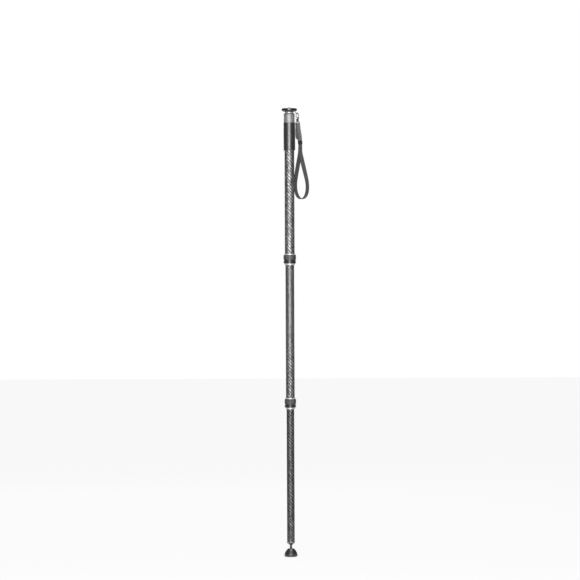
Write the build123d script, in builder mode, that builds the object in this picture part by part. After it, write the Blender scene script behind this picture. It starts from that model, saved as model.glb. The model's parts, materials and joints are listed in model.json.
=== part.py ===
"""Camera monopod: three telescoping tubes, two twist locks, a ball-jointed foot and a wrist strap.

Millimetres, +Z up. The origin is the centre of the foot's flat face, and the sections are
stored fully pulled out, with both locks tight.
"""

import math
import os

from build123d import *

os.makedirs("parts", exist_ok=True)

# Heights that show, from the floor up
pad_height = 29.4
stem_show = 14.4
ferrule_cone = 6.2
ferrule_flange = 6.7
lower_show = 486.3
lock_height = 41.0
middle_show = 489.0
upper_show = 380.4
grip_length = 101.2
collar_height = 36.4
neck_ring_height = 3.0
plate_cone = 5.2
plate_rim = 8.4
stud_show = 5.4

# Tubes
upper_tube_r = 18.0
tube_step = 2.0
tube_wall = 1.3

# Clearances
slide_play = 0.08
turn_play = 0.3
pin_play = 0.05
thread_play = 0.1
overrun = 1.0

# Guide shims at the top end of each sliding section
shim_length = 40.0
shim_edge = 2.0
shim_slit = 1.6
stop_play = 0.4

# Twist lock, measured up from its bottom ring; radii are over the outer tube's radius
trim_height = 5.0
rim_height = 10.0
groove_height = 3.5
flange_height = 3.8
trim_over = 1.0
rim_over = 4.8
groove_over = 3.0
rubber_over = 5.0
flange_over = 2.6
sleeve_over = 1.5
rim_chamfer = 2.4
rubber_chamfer = 0.7
flute_count = 24
flute_r = 0.9
sleeve_lip = 2.0
collet_height = 5.2
collet_taper = 1.3
collet_foot = 1.6
collet_slit = 1.4
collet_slits = 6
wiper_height = 2.4
wiper_wall = 1.7
trim_floor = 1.4
trim_bevel = 0.5

# Foot
ferrule_plug = 24.0
ferrule_flange_over = 0.75
ferrule_cone_r = 6.4
stem_r = 4.7625
stem_thread = 20.0
neck_r = 3.2
neck_top = 1.6
ball_r = 6.8
ball_height = 16.0
cup_gap = 0.3
liner_wall = 1.1
liner_rise = 5.0
socket_wall = 1.5
socket_rise = 6.5
pad_r = 24.4
pad_face_r = 21.6
pad_bevel = 3.0
pad_side = 8.0
pad_bulge_r = 20.4
pad_bulge_height = 18.0
pad_top_r = 12.6
pad_mouth_r = 10.3
pad_lip_r = 9.0
pad_lip_rise = 5.0
tread_depth = 1.0
tread_width = 1.5
tread_inner_r = 9.0
tread_step = 5.5

# Grip and collar
grip_over = 3.8
grip_round = 1.6
grip_top_round = 0.8
collar_foot_over = 2.4
collar_waist_over = 1.7
collar_waist_height = 15.0
collar_shoulder_over = 2.2
collar_shoulder_height = 30.0
collar_round_over = 1.2
collar_round_height = 34.4
collar_top_under = 1.4
collar_roof = 12.0
collar_bore_r = 6.0
plug_height = 12.0
bumper_height = 4.0
bumper_play = 0.8
travel_play = 1.6
lock_gap = 3.3

# Camera plate
neck_ring_r = 15.6
plate_hub_r = 15.0
plate_r = 29.0
plate_edge = 1.2
plate_edge_drop = 1.0
pad_ring_inner_r = 16.4
pad_ring_outer_r = 26.6
pad_ring_depth = 1.2
pad_ring_proud = 0.4
screw_circle_r = 11.9
screw_count = 3
screw_r = 1.5
screw_head_r = 2.9
screw_bite = 9.0
screw_socket_r = 1.1
screw_socket_depth = 1.0
hex_sides = 6
stud_r = 3.175
stud_tip = 0.6
stud_flange_r = 8.4
stud_flange = 3.2
stud_back_length = 12.0

# Strap bail under the plate, a bent wire with its bar along Y
bail_clear = 7.7
bail_drop = 11.6
bail_half = 5.0
bail_wire_r = 1.4
bail_bend_r = 2.0
bail_lean = 8.5
bail_rise = 10.4
bail_leg = 16.6

# Snap hook, hanging from the bar; heights are below the bar's centre line
hang_tilt = 2.86
hook_inner_r = 2.6
hook_wire = 3.0
hook_half = 2.25
hook_sag = 0.9
hook_slot = 8.6
nose_end = 5.2
block_top = 12.0
block_bottom = 18.6
block_half = 3.2
barrel_r = 4.5
barrel_top = 16.6
barrel_bottom = 27.0
barrel_round = 0.9
gate_pivot_x = -3.0
gate_pivot_drop = 15.2
gate_hub_r = 2.5
gate_hollow_r = 1.95
gate_face = 5.5
gate_thick = 2.6
gate_half = 1.4
gate_cheek = 0.45
gate_tip = 0.9
gate_pin_r = 1.0
spring_wall = 0.5
spring_half = 0.6
swivel_stem_r = 1.6
swivel_head_r = 2.5
swivel_head = 2.0
swivel_head_top = 20.7
eye_top = 27.4
eye_shoulder = 31.6
eye_bottom = 38.6
eye_half_width = 10.2
eye_neck = 3.4
eye_side = 1.7
eye_corner = 2.4
eye_bar = 3.0
eye_half = 1.6
eye_slot_top = 30.0
eye_slot_shoulder = 32.4
eye_slot_neck = 2.0

# Strap: flat webbing, in an upright plane turned from the view
strap_turn = -50.0
web_width = 16.0
web_thick = 2.0
link_thick = 1.8
link_bend_r = 3.2
keeper_top = 99.0
keeper_length = 12.5
keeper_across = 8.05
keeper_wall = 0.75
keeper_play = 0.2
slot_across = 4.7
bend_share = 0.45

# Radii, worked out
middle_tube_r = upper_tube_r - tube_step
lower_tube_r = middle_tube_r - tube_step
collar_foot_r = upper_tube_r + collar_foot_over
collar_waist_r = upper_tube_r + collar_waist_over
collar_shoulder_r = upper_tube_r + collar_shoulder_over
collar_round_r = upper_tube_r + collar_round_over
collar_top_r = upper_tube_r - collar_top_under
bail_x = upper_tube_r + grip_over + bail_clear

# Heights, worked out
ferrule_bottom = pad_height + stem_show
flange_bottom = ferrule_bottom + ferrule_cone
lower_tube_bottom = flange_bottom + ferrule_flange
lower_lock = lower_tube_bottom + lower_show
upper_lock = lower_lock + lock_height + middle_show
grip_bottom = upper_lock + lock_height + upper_show
collar_bottom = grip_bottom + grip_length
collar_top = collar_bottom + collar_height
plate_bottom = collar_top + neck_ring_height
plate_top = plate_bottom + plate_cone + plate_rim
stud_top = plate_top + stud_show
tube_seat = trim_height + collet_height + turn_play + turn_play + sleeve_lip
middle_tube_bottom = lower_lock + tube_seat
upper_tube_bottom = upper_lock + tube_seat
upper_tube_top = collar_top - collar_roof
insert_length = stop_play + shim_length + shim_edge
middle_tube_top = upper_tube_bottom + insert_length
lower_tube_top = middle_tube_bottom + insert_length
bumper_bottom = upper_tube_top - plug_height - bumper_height
print("middle section travel", round(bumper_bottom - middle_tube_top - travel_play, 2))
print("lower section travel", round(lower_show - lock_gap, 2))


def tube(outer_r, bottom, top):
    """A plain tube of the common wall."""
    with BuildPart() as body:
        with BuildSketch(Plane.XY.offset(bottom)):
            Circle(outer_r)
            Circle(outer_r - tube_wall, mode=Mode.SUBTRACT)
        extrude(amount=top - bottom)
    return body.part


def shims(inner_r, bottom):
    """Two thin half shells that guide a section in the bore of the next one up."""
    outer_r = inner_r + tube_step - tube_wall - slide_play
    with BuildPart() as shells:
        with BuildSketch(Plane.XY.offset(bottom)):
            Circle(outer_r)
            Circle(inner_r + thread_play, mode=Mode.SUBTRACT)
            Rectangle(shim_slit, outer_r + outer_r + overrun, mode=Mode.SUBTRACT)
        extrude(amount=shim_length)
    return shells.part


# Sliding tubes and their shims
tubes = (
    ("upper_tube", upper_tube_r, upper_tube_bottom, upper_tube_top),
    ("middle_tube", middle_tube_r, middle_tube_bottom, middle_tube_top),
    ("lower_tube", lower_tube_r, lower_tube_bottom, lower_tube_top),
)
for tube_name, tube_r, tube_bottom, tube_top in tubes:
    section = tube(tube_r, tube_bottom, tube_top)
    section.label = tube_name
    export_step(section, f"parts/{tube_name}.step")

guides = (
    ("middle_shims", middle_tube_r, upper_tube_bottom),
    ("lower_shims", lower_tube_r, middle_tube_bottom),
)
for guide_name, guide_r, guide_seat in guides:
    guide = shims(guide_r, guide_seat + stop_play)
    guide.label = guide_name
    export_step(guide, f"parts/{guide_name}.step")


def lock_sleeve(base, outer_r, inner_r):
    """The threaded sleeve glued on a tube's lower end, with its bright flange and inner lip."""
    top = base + lock_height
    lip_top = base + tube_seat
    bottom = lip_top - sleeve_lip
    with BuildPart() as sleeve:
        with BuildSketch(Plane.XZ):
            Polygon(
                (inner_r + stop_play, bottom),
                (outer_r + sleeve_over, bottom),
                (outer_r + sleeve_over, top - flange_height),
                (outer_r + flange_over, top - flange_height),
                (outer_r + flange_over, top - trim_bevel),
                (outer_r + flange_over - trim_bevel, top),
                (outer_r, top),
                (outer_r, lip_top),
                (inner_r + stop_play, lip_top),
                align=None,
            )
        revolve(axis=Axis.Z)
    return sleeve.part


def lock_collet(base, inner_r):
    """The split tapered bush that the ring squeezes on the inner tube."""
    bottom = base + trim_height + turn_play
    top = bottom + collet_height
    with BuildPart() as collet:
        with BuildSketch(Plane.XZ):
            Polygon(
                (inner_r + pin_play, bottom),
                (inner_r + collet_foot, bottom),
                (inner_r + collet_foot + collet_taper, top),
                (inner_r + pin_play, top),
                align=None,
            )
        revolve(axis=Axis.Z)
        with BuildSketch(Plane.XY.offset(bottom + trim_bevel)):
            with PolarLocations(inner_r + collet_foot, collet_slits):
                Rectangle(collet_foot + collet_foot + collet_taper, collet_slit)
        extrude(amount=collet_height, mode=Mode.SUBTRACT)
    return collet.part


def lock_ring(base, outer_r, inner_r):
    """The twist ring: rim, groove and the core under the rubber, with the collet's cone inside."""
    bottom = base + trim_height
    rim_top = bottom + rim_height
    ring_top = base + lock_height - flange_height - stop_play
    cone_top = bottom + turn_play + collet_height
    cone_r = inner_r + collet_foot + turn_play
    bore_r = outer_r + sleeve_over + turn_play
    rim_r = outer_r + rim_over
    core_r = outer_r + groove_over
    with BuildPart() as ring:
        with BuildSketch(Plane.XZ):
            Polygon(
                (cone_r, bottom),
                (rim_r - rim_chamfer, bottom),
                (rim_r, bottom + rim_chamfer),
                (rim_r, rim_top - trim_bevel),
                (rim_r - trim_bevel, rim_top),
                (core_r, rim_top),
                (core_r, ring_top),
                (bore_r, ring_top),
                (bore_r, cone_top),
                (cone_r + collet_taper, cone_top),
                align=None,
            )
        revolve(axis=Axis.Z)
    return ring.part


def lock_rubber(base, outer_r):
    """The fluted rubber sleeve on the ring's core."""
    bottom = base + trim_height + rim_height + groove_height
    top = base + lock_height - flange_height - stop_play
    face_r = outer_r + rubber_over
    with BuildPart() as rubber:
        with BuildSketch(Plane.XZ):
            Polygon(
                (outer_r + groove_over, bottom),
                (face_r - rubber_chamfer, bottom),
                (face_r, bottom + rubber_chamfer),
                (face_r, top - rubber_chamfer),
                (face_r - rubber_chamfer, top),
                (outer_r + groove_over, top),
                align=None,
            )
        revolve(axis=Axis.Z)
        with BuildSketch(Plane.XY.offset(bottom)):
            with PolarLocations(face_r + flute_r / 2, flute_count):
                Circle(flute_r)
        extrude(amount=top - bottom, mode=Mode.SUBTRACT)
    return rubber.part


def lock_trim(base, outer_r, inner_r):
    """The bright ring screwed under the twist ring, with a pocket for the wiper."""
    pocket_r = inner_r + turn_play + wiper_wall
    trim_r = outer_r + trim_over
    pocket_top = base + trim_floor + wiper_height
    mouth_r = inner_r + turn_play + turn_play
    with BuildPart() as trim:
        with BuildSketch(Plane.XZ):
            Polygon(
                (mouth_r, base),
                (trim_r - trim_bevel, base),
                (trim_r, base + trim_bevel),
                (trim_r, base + trim_height),
                (mouth_r, base + trim_height),
                (mouth_r, pocket_top),
                (pocket_r, pocket_top),
                (pocket_r, base + trim_floor),
                (mouth_r, base + trim_floor),
                align=None,
            )
        revolve(axis=Axis.Z)
    return trim.part


def lock_wiper(base, inner_r):
    """The felt ring that keeps grit out of the collet."""
    with BuildPart() as wiper:
        with BuildSketch(Plane.XY.offset(base + trim_floor)):
            Circle(inner_r + turn_play + wiper_wall)
            Circle(inner_r + turn_play, mode=Mode.SUBTRACT)
        extrude(amount=wiper_height)
    return wiper.part


# Twist locks, one under each outer tube
locks = (
    ("upper", upper_lock, upper_tube_r, middle_tube_r),
    ("lower", lower_lock, middle_tube_r, lower_tube_r),
)
for lock_name, lock_base, lock_outer_r, lock_inner_r in locks:
    lock_pieces = {
        "lock_sleeve": lock_sleeve(lock_base, lock_outer_r, lock_inner_r),
        "lock_collet": lock_collet(lock_base, lock_inner_r),
        "lock_ring": lock_ring(lock_base, lock_outer_r, lock_inner_r),
        "lock_rubber": lock_rubber(lock_base, lock_outer_r),
        "lock_trim": lock_trim(lock_base, lock_outer_r, lock_inner_r),
        "lock_wiper": lock_wiper(lock_base, lock_inner_r),
    }
    for piece_name, piece in lock_pieces.items():
        piece.label = f"{lock_name}_{piece_name}"
        export_step(piece, f"parts/{lock_name}_{piece_name}.step")

# Ferrule: the plug in the lower tube, its flange and the cone down to the stem
with BuildPart() as foot_ferrule:
    with BuildSketch(Plane.XZ):
        Polygon(
            (0, ferrule_bottom),
            (ferrule_cone_r, ferrule_bottom),
            (lower_tube_r, flange_bottom),
            (lower_tube_r + ferrule_flange_over, flange_bottom + trim_bevel),
            (lower_tube_r + ferrule_flange_over, lower_tube_bottom - trim_bevel),
            (lower_tube_r, lower_tube_bottom),
            (lower_tube_r - tube_wall, lower_tube_bottom),
            (lower_tube_r - tube_wall, lower_tube_bottom + ferrule_plug),
            (0, lower_tube_bottom + ferrule_plug),
            align=None,
        )
    revolve(axis=Axis.Z)
    with BuildSketch(Plane.XY.offset(ferrule_bottom)):
        Circle(stem_r + thread_play)
    extrude(amount=stem_thread + thread_play, mode=Mode.SUBTRACT)
foot_ferrule.part.label = "foot_ferrule"
export_step(foot_ferrule.part, "parts/foot_ferrule.step")

# Ball stud: threaded stem, neck and ball
stem_bottom = pad_height + neck_top
with BuildPart() as ball_stud:
    with BuildSketch(Plane.XZ):
        Polygon(
            (0, ball_height),
            (neck_r, ball_height),
            (neck_r, stem_bottom),
            (stem_r, stem_bottom + stem_r - neck_r),
            (stem_r, ferrule_bottom + stem_thread - stud_tip),
            (stem_r - stud_tip, ferrule_bottom + stem_thread),
            (0, ferrule_bottom + stem_thread),
            align=None,
        )
    revolve(axis=Axis.Z)
    with Locations((0, 0, ball_height)):
        Sphere(ball_r)
ball_stud.part.label = "ball_stud"
export_step(ball_stud.part, "parts/ball_stud.step")

liner_inner_r = ball_r + cup_gap
liner_outer_r = liner_inner_r + liner_wall
socket_inner_r = liner_outer_r + cup_gap
socket_outer_r = socket_inner_r + socket_wall


def ball_cup(inner_r, outer_r, rise):
    """A cup of two spheres round the ball, open above the given rise over its centre."""
    with BuildPart() as cup:
        with Locations((0, 0, ball_height)):
            Sphere(outer_r)
            Sphere(inner_r, mode=Mode.SUBTRACT)
        split(bisect_by=Plane.XY.offset(ball_height + rise), keep=Keep.BOTTOM)
    return cup.part


cups = (
    ("ball_liner", liner_inner_r, liner_outer_r, liner_rise),
    ("foot_socket", socket_inner_r, socket_outer_r, socket_rise),
)
for cup_name, cup_inner_r, cup_outer_r, cup_rise in cups:
    ball_shell = ball_cup(cup_inner_r, cup_outer_r, cup_rise)
    ball_shell.label = cup_name
    export_step(ball_shell, f"parts/{cup_name}.step")

# Rubber foot pad, domed outside, with a ball pocket and two tread grooves
with BuildPart() as foot_pad:
    with BuildSketch(Plane.XZ):
        with BuildLine():
            dome = ThreePointArc(
                (pad_r, pad_side), (pad_bulge_r, pad_bulge_height), (pad_top_r, pad_height)
            )
            Polyline(
                dome @ 1,
                (pad_mouth_r, pad_height),
                (pad_lip_r, ball_height + pad_lip_rise),
                (0, ball_height + pad_lip_rise),
                (0, 0),
                (pad_face_r, 0),
                (pad_r, pad_bevel),
                dome @ 0,
            )
        make_face()
    revolve(axis=Axis.Z)
    with Locations((0, 0, ball_height)):
        Sphere(socket_outer_r + cup_gap, mode=Mode.SUBTRACT)
    with BuildSketch(Plane.XY):
        Circle(tread_inner_r + tread_step + tread_width)
        Circle(tread_inner_r + tread_step, mode=Mode.SUBTRACT)
        Circle(tread_inner_r + tread_width)
        Circle(tread_inner_r, mode=Mode.SUBTRACT)
    extrude(amount=tread_depth, mode=Mode.SUBTRACT)
foot_pad.part.label = "foot_pad"
export_step(foot_pad.part, "parts/foot_pad.step")

# Grip sleeve
with BuildPart() as grip:
    with BuildSketch(Plane.XY.offset(grip_bottom)):
        Circle(upper_tube_r + grip_over)
        Circle(upper_tube_r, mode=Mode.SUBTRACT)
    extrude(amount=grip_length)
    grip_edges = grip.edges().filter_by(GeomType.CIRCLE).sort_by(SortBy.RADIUS)[-2:].sort_by(Axis.Z)
    fillet(grip_edges[0], radius=grip_round)
    fillet(
        grip.edges().filter_by(GeomType.CIRCLE).group_by(Axis.Z)[-1].sort_by(SortBy.RADIUS)[-1],
        radius=grip_top_round,
    )
grip.part.label = "grip"
export_step(grip.part, "parts/grip.step")

# Collar casting that closes the upper tube, waisted, with a round shoulder
with BuildPart() as upper_collar:
    with BuildSketch(Plane.XZ):
        with BuildLine():
            waist = ThreePointArc(
                (collar_foot_r, collar_bottom),
                (collar_waist_r, collar_bottom + collar_waist_height),
                (collar_shoulder_r, collar_bottom + collar_shoulder_height),
            )
            shoulder = ThreePointArc(
                (collar_shoulder_r, collar_bottom + collar_shoulder_height),
                (collar_round_r, collar_bottom + collar_round_height),
                (collar_top_r, collar_top),
            )
            Polyline(
                shoulder @ 1,
                (collar_bore_r, collar_top),
                (collar_bore_r, upper_tube_top),
                (upper_tube_r, upper_tube_top),
                (upper_tube_r, collar_bottom),
                waist @ 0,
            )
        make_face()
    revolve(axis=Axis.Z)
    with BuildSketch(Plane.XY.offset(collar_top)):
        with PolarLocations(screw_circle_r, screw_count):
            Circle(screw_r + pin_play)
    extrude(amount=-collar_roof, mode=Mode.SUBTRACT)
upper_collar.part.label = "upper_collar"
export_step(upper_collar.part, "parts/upper_collar.step")

# Plug and bumper inside the upper tube
plug_bottom = upper_tube_top - plug_height
with BuildPart() as tube_plug:
    with BuildSketch(Plane.XY.offset(plug_bottom)):
        Circle(upper_tube_r - tube_wall)
        Circle(collar_bore_r, mode=Mode.SUBTRACT)
    extrude(amount=plug_height)
tube_plug.part.label = "tube_plug"
export_step(tube_plug.part, "parts/tube_plug.step")

with BuildPart() as section_bumper:
    with BuildSketch(Plane.XY.offset(bumper_bottom)):
        Circle(upper_tube_r - tube_wall - bumper_play)
        Circle(collar_bore_r, mode=Mode.SUBTRACT)
    extrude(amount=bumper_height)
section_bumper.part.label = "section_bumper"
export_step(section_bumper.part, "parts/section_bumper.step")

# Bright ring between the collar and the plate
with BuildPart() as neck_ring:
    with BuildSketch(Plane.XY.offset(collar_top)):
        Circle(neck_ring_r)
        Circle(collar_bore_r, mode=Mode.SUBTRACT)
        with PolarLocations(screw_circle_r, screw_count):
            Circle(screw_r + pin_play, mode=Mode.SUBTRACT)
    extrude(amount=neck_ring_height)
neck_ring.part.label = "neck_ring"
export_step(neck_ring.part, "parts/neck_ring.step")

# The bail's plane holds its bar, along Y, and its two legs, which lean in under the plate
bail_z = plate_bottom + plate_cone - bail_drop
leg_up = Vector(-bail_lean, 0, bail_rise).normalized()
bail_plane = Plane(origin=(bail_x, 0, bail_z), x_dir=(0, 1, 0), z_dir=Vector(0, 1, 0).cross(leg_up))

# Camera plate: rim, dished underside, and seats for the pad ring, the screws and the stud's hexagon
with BuildPart() as camera_plate:
    with BuildSketch(Plane.XZ):
        Polygon(
            (stem_r + thread_play, plate_bottom),
            (plate_hub_r, plate_bottom),
            (plate_r - plate_edge, plate_bottom + plate_cone),
            (plate_r, plate_bottom + plate_cone + plate_edge),
            (plate_r, plate_top - plate_edge_drop),
            (plate_r - plate_edge_drop, plate_top),
            (pad_ring_outer_r, plate_top),
            (pad_ring_outer_r, plate_top - pad_ring_depth),
            (pad_ring_inner_r, plate_top - pad_ring_depth),
            (pad_ring_inner_r, plate_top),
            (stem_r + thread_play, plate_top),
            align=None,
        )
    revolve(axis=Axis.Z)
    with BuildSketch(Plane.XY.offset(plate_bottom)):
        RegularPolygon(stud_flange_r + thread_play, hex_sides)
    extrude(amount=stud_flange + thread_play, mode=Mode.SUBTRACT)
    with BuildSketch(Plane.XY.offset(plate_top)) as screw_mouths:
        with PolarLocations(screw_circle_r, screw_count):
            Circle(screw_head_r + pin_play)
    extrude(amount=-(screw_head_r - screw_r), taper=45, mode=Mode.SUBTRACT)
    with BuildSketch(Plane.XY.offset(plate_top)):
        with PolarLocations(screw_circle_r, screw_count):
            Circle(screw_r + pin_play)
    extrude(amount=plate_bottom - plate_top, mode=Mode.SUBTRACT)
    with BuildSketch(Plane(origin=bail_plane.origin, x_dir=(0, 1, 0), z_dir=leg_up)):
        with Locations((-bail_half, 0), (bail_half, 0)):
            Circle(bail_wire_r + pin_play)
    extrude(amount=bail_leg, mode=Mode.SUBTRACT)
camera_plate.part.label = "camera_plate"
export_step(camera_plate.part, "parts/camera_plate.step")

# Rubber ring set in the plate's top
with BuildPart() as plate_pad:
    with BuildSketch(Plane.XY.offset(plate_top - pad_ring_depth)):
        Circle(pad_ring_outer_r)
        Circle(pad_ring_inner_r, mode=Mode.SUBTRACT)
    extrude(amount=pad_ring_depth + pad_ring_proud)
plate_pad.part.label = "plate_pad"
export_step(plate_pad.part, "parts/plate_pad.step")

# Three countersunk screws that hold the plate to the collar
with BuildPart() as plate_screws:
    with BuildSketch(Plane.XY.offset(plate_top)):
        with PolarLocations(screw_circle_r, screw_count):
            Circle(screw_head_r)
    extrude(amount=-(screw_head_r - screw_r), taper=45)
    with BuildSketch(Plane.XY.offset(plate_top)):
        with PolarLocations(screw_circle_r, screw_count):
            Circle(screw_r)
    extrude(amount=collar_top - screw_bite - plate_top)
    with BuildSketch(Plane.XY.offset(plate_top)):
        with PolarLocations(screw_circle_r, screw_count):
            RegularPolygon(screw_socket_r, hex_sides)
    extrude(amount=-screw_socket_depth, mode=Mode.SUBTRACT)
plate_screws.part.label = "plate_screws"
export_step(plate_screws.part, "parts/plate_screws.step")

# Reversible camera stud: the quarter-inch end is up, and the three-eighths end waits below
stud_seat = plate_bottom + stud_flange
with BuildPart() as camera_stud:
    with BuildSketch(Plane.XZ):
        Polygon(
            (0, plate_bottom - stud_back_length),
            (stem_r - stud_tip, plate_bottom - stud_back_length),
            (stem_r, plate_bottom - stud_back_length + stud_tip),
            (stem_r, plate_top),
            (stud_r, plate_top),
            (stud_r, stud_top - stud_tip),
            (stud_r - stud_tip, stud_top),
            (0, stud_top),
            align=None,
        )
    revolve(axis=Axis.Z)
    with BuildSketch(Plane.XY.offset(plate_bottom)):
        RegularPolygon(stud_flange_r, hex_sides)
    extrude(amount=stud_seat - plate_bottom)
camera_stud.part.label = "camera_stud"
export_step(camera_stud.part, "parts/camera_stud.step")

# Strap bail: one wire bent to a staple
with BuildPart() as strap_bail:
    with BuildLine(bail_plane) as bail_path:
        FilletPolyline(
            (-bail_half, bail_leg),
            (-bail_half, 0),
            (bail_half, 0),
            (bail_half, bail_leg),
            radius=bail_bend_r,
        )
    with BuildSketch(Plane(origin=bail_path.line @ 0, z_dir=bail_path.line % 0)):
        Circle(bail_wire_r)
    sweep(path=bail_path.line)
strap_bail.part.label = "strap_bail"
export_step(strap_bail.part, "parts/strap_bail.step")

# Planes of the hanging snap hook and strap: both share the line that leans out by hang_tilt
tilt = math.radians(hang_tilt)
turn = math.radians(strap_turn)
bar_centre = Vector(bail_x, 0, bail_z)
out = Vector(math.cos(tilt), 0, math.sin(tilt))
up = Vector(-math.sin(tilt), 0, math.cos(tilt))
side = Vector(0, 1, 0)
across = out * math.cos(turn) + side * math.sin(turn)
along_width = side * math.cos(turn) - out * math.sin(turn)
hook_front = Plane(origin=bar_centre, x_dir=out, z_dir=out.cross(up))
hook_level = Plane(origin=bar_centre, x_dir=out, z_dir=up)
eye_front = Plane(origin=bar_centre, x_dir=along_width, z_dir=along_width.cross(up))
strap_front = Plane(origin=bar_centre, x_dir=across, z_dir=across.cross(up))
strap_level = Plane(origin=bar_centre, x_dir=across, z_dir=up)

# Snap hook body: hook, block with the gate's slot, and the barrel that holds the swivel
hook_outer_r = hook_inner_r + hook_wire
hook_width = hook_outer_r + hook_outer_r
pivot = (gate_pivot_x, -gate_pivot_drop)
slot_half = gate_half + turn_play
with BuildPart() as hook_body:
    with BuildSketch(hook_front):
        with Locations((0, -(hook_sag + block_top) / 2)):
            SlotCenterToCenter(block_top - hook_sag, hook_width, rotation=90)
        with Locations((0, -hook_sag - hook_slot / 2)):
            SlotCenterToCenter(
                hook_slot, hook_inner_r + hook_inner_r, rotation=90, mode=Mode.SUBTRACT
            )
        with Locations((-hook_outer_r, -nose_end)):
            Rectangle(
                hook_wire,
                block_top - nose_end,
                align=(Align.MIN, Align.MAX),
                mode=Mode.SUBTRACT,
            )
    extrude(amount=hook_half, both=True)
    with BuildSketch(hook_front):
        with Locations((0, -block_top)):
            Rectangle(hook_width, block_bottom - block_top, align=(Align.CENTER, Align.MAX))
    extrude(amount=block_half, both=True)
    with BuildSketch(hook_level.offset(-barrel_bottom)):
        Circle(barrel_r)
    extrude(amount=barrel_bottom - barrel_top)
    fillet(
        hook_body.edges().filter_by(GeomType.CIRCLE).sort_by(Axis(bar_centre, up))[0],
        radius=barrel_round,
    )
    with BuildSketch(hook_front):
        with Locations((-hook_outer_r - overrun, -hook_sag - hook_slot)):
            Rectangle(
                hook_outer_r + overrun + gate_pivot_x + gate_hub_r + stop_play,
                gate_pivot_drop + gate_hub_r + stop_play - hook_sag - hook_slot,
                align=(Align.MIN, Align.MAX),
            )
    extrude(amount=slot_half, both=True, mode=Mode.SUBTRACT)
    with BuildSketch(hook_front):
        with Locations(pivot):
            Circle(gate_pin_r)
    extrude(amount=block_half, both=True, mode=Mode.SUBTRACT)
    with BuildSketch(hook_level.offset(-barrel_bottom)):
        Circle(swivel_stem_r + pin_play)
    extrude(amount=barrel_bottom - swivel_head_top, mode=Mode.SUBTRACT)
    with BuildSketch(hook_level.offset(-swivel_head_top - swivel_head - turn_play)):
        Circle(swivel_head_r + turn_play)
    extrude(amount=swivel_head + turn_play + turn_play, mode=Mode.SUBTRACT)
hook_body.part.label = "hook_body"
export_step(hook_body.part, "parts/hook_body.step")

# Gate: a lever on its pin, hollow round the spring
with BuildPart() as hook_gate:
    with BuildSketch(hook_front):
        with Locations(pivot):
            Circle(gate_hub_r)
        Polygon(
            (-gate_face, -gate_pivot_drop),
            (-gate_face, -nose_end - gate_tip - stop_play),
            (-gate_face + gate_tip, -nose_end - stop_play),
            (gate_thick - gate_face, -nose_end - stop_play),
            (gate_thick - gate_face, -gate_pivot_drop),
            align=None,
        )
    extrude(amount=gate_half, both=True)
    with BuildSketch(hook_front):
        with Locations(pivot):
            Circle(gate_hollow_r)
    extrude(amount=gate_half - gate_cheek, both=True, mode=Mode.SUBTRACT)
    with BuildSketch(hook_front):
        with Locations(pivot):
            Circle(gate_pin_r + pin_play)
    extrude(amount=gate_half, both=True, mode=Mode.SUBTRACT)
hook_gate.part.label = "hook_gate"
export_step(hook_gate.part, "parts/hook_gate.step")

with BuildPart() as gate_pin:
    with BuildSketch(hook_front):
        with Locations(pivot):
            Circle(gate_pin_r)
    extrude(amount=block_half, both=True)
gate_pin.part.label = "gate_pin"
export_step(gate_pin.part, "parts/gate_pin.step")

with BuildPart() as gate_spring:
    with BuildSketch(hook_front):
        with Locations(pivot):
            Circle(gate_pin_r + thread_play + spring_wall)
            Circle(gate_pin_r + thread_play, mode=Mode.SUBTRACT)
    extrude(amount=spring_half, both=True)
gate_spring.part.label = "gate_spring"
export_step(gate_spring.part, "parts/gate_spring.step")

# Swivel eye: headed stem in the barrel, and the flat eye that the strap hangs from
with BuildPart() as swivel_eye:
    with BuildSketch(eye_front):
        Polygon(
            (-eye_neck, -eye_top),
            (-eye_half_width, -eye_shoulder),
            (-eye_half_width, -eye_bottom),
            (eye_half_width, -eye_bottom),
            (eye_half_width, -eye_shoulder),
            (eye_neck, -eye_top),
            align=None,
        )
        Polygon(
            (-eye_slot_neck, -eye_slot_top),
            (eye_side - eye_half_width, -eye_slot_shoulder),
            (eye_side - eye_half_width, eye_bar - eye_bottom),
            (eye_half_width - eye_side, eye_bar - eye_bottom),
            (eye_half_width - eye_side, -eye_slot_shoulder),
            (eye_slot_neck, -eye_slot_top),
            align=None,
            mode=Mode.SUBTRACT,
        )
    extrude(amount=eye_half, both=True)
    flat_edges = swivel_eye.edges().filter_by(Axis(bar_centre, across))
    fillet(flat_edges.group_by(Axis(bar_centre, up))[0], radius=eye_corner)
    with BuildSketch(hook_level.offset(-eye_top - overrun)):
        Circle(swivel_stem_r)
    extrude(amount=eye_top + overrun - swivel_head_top)
    with BuildSketch(hook_level.offset(-swivel_head_top)):
        Circle(swivel_head_r)
    extrude(amount=-swivel_head)
swivel_eye.part.label = "swivel_eye"
export_step(swivel_eye.part, "parts/swivel_eye.step")


def webbing(route, radii, width, thickness, name):
    """A flat band along a route of runs and arcs in the strap's plane; prints what it measures."""
    with BuildPart() as band:
        with BuildLine(strap_front) as path:
            FilletPolyline(*route, radius=radii)
        with BuildSketch(Plane(origin=path.line @ 0, x_dir=along_width, z_dir=path.line % 0)):
            Rectangle(width, thickness)
        sweep(path=path.line)
    length = sum(edge.length for edge in path.line.edges())
    share = band.part.volume / (length * width * thickness)
    print(name, "length", round(length, 1), "volume share", round(share, 4))
    print(name, "radii", [round(radius, 1) for radius in radii])
    return band.part


def corner_radii(route, given):
    """A share of the shorter run at each corner over the tangent of half its turn, or the given."""
    radii = []
    for index in range(1, len(route) - 1):
        before = Vector(*route[index]) - Vector(*route[index - 1])
        after = Vector(*route[index + 1]) - Vector(*route[index])
        half_turn = math.radians(before.get_angle(after)) / 2
        radius = bend_share * min(before.length, after.length) / math.tan(half_turn)
        radii.append(given.get(index, radius))
    return radii


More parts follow.
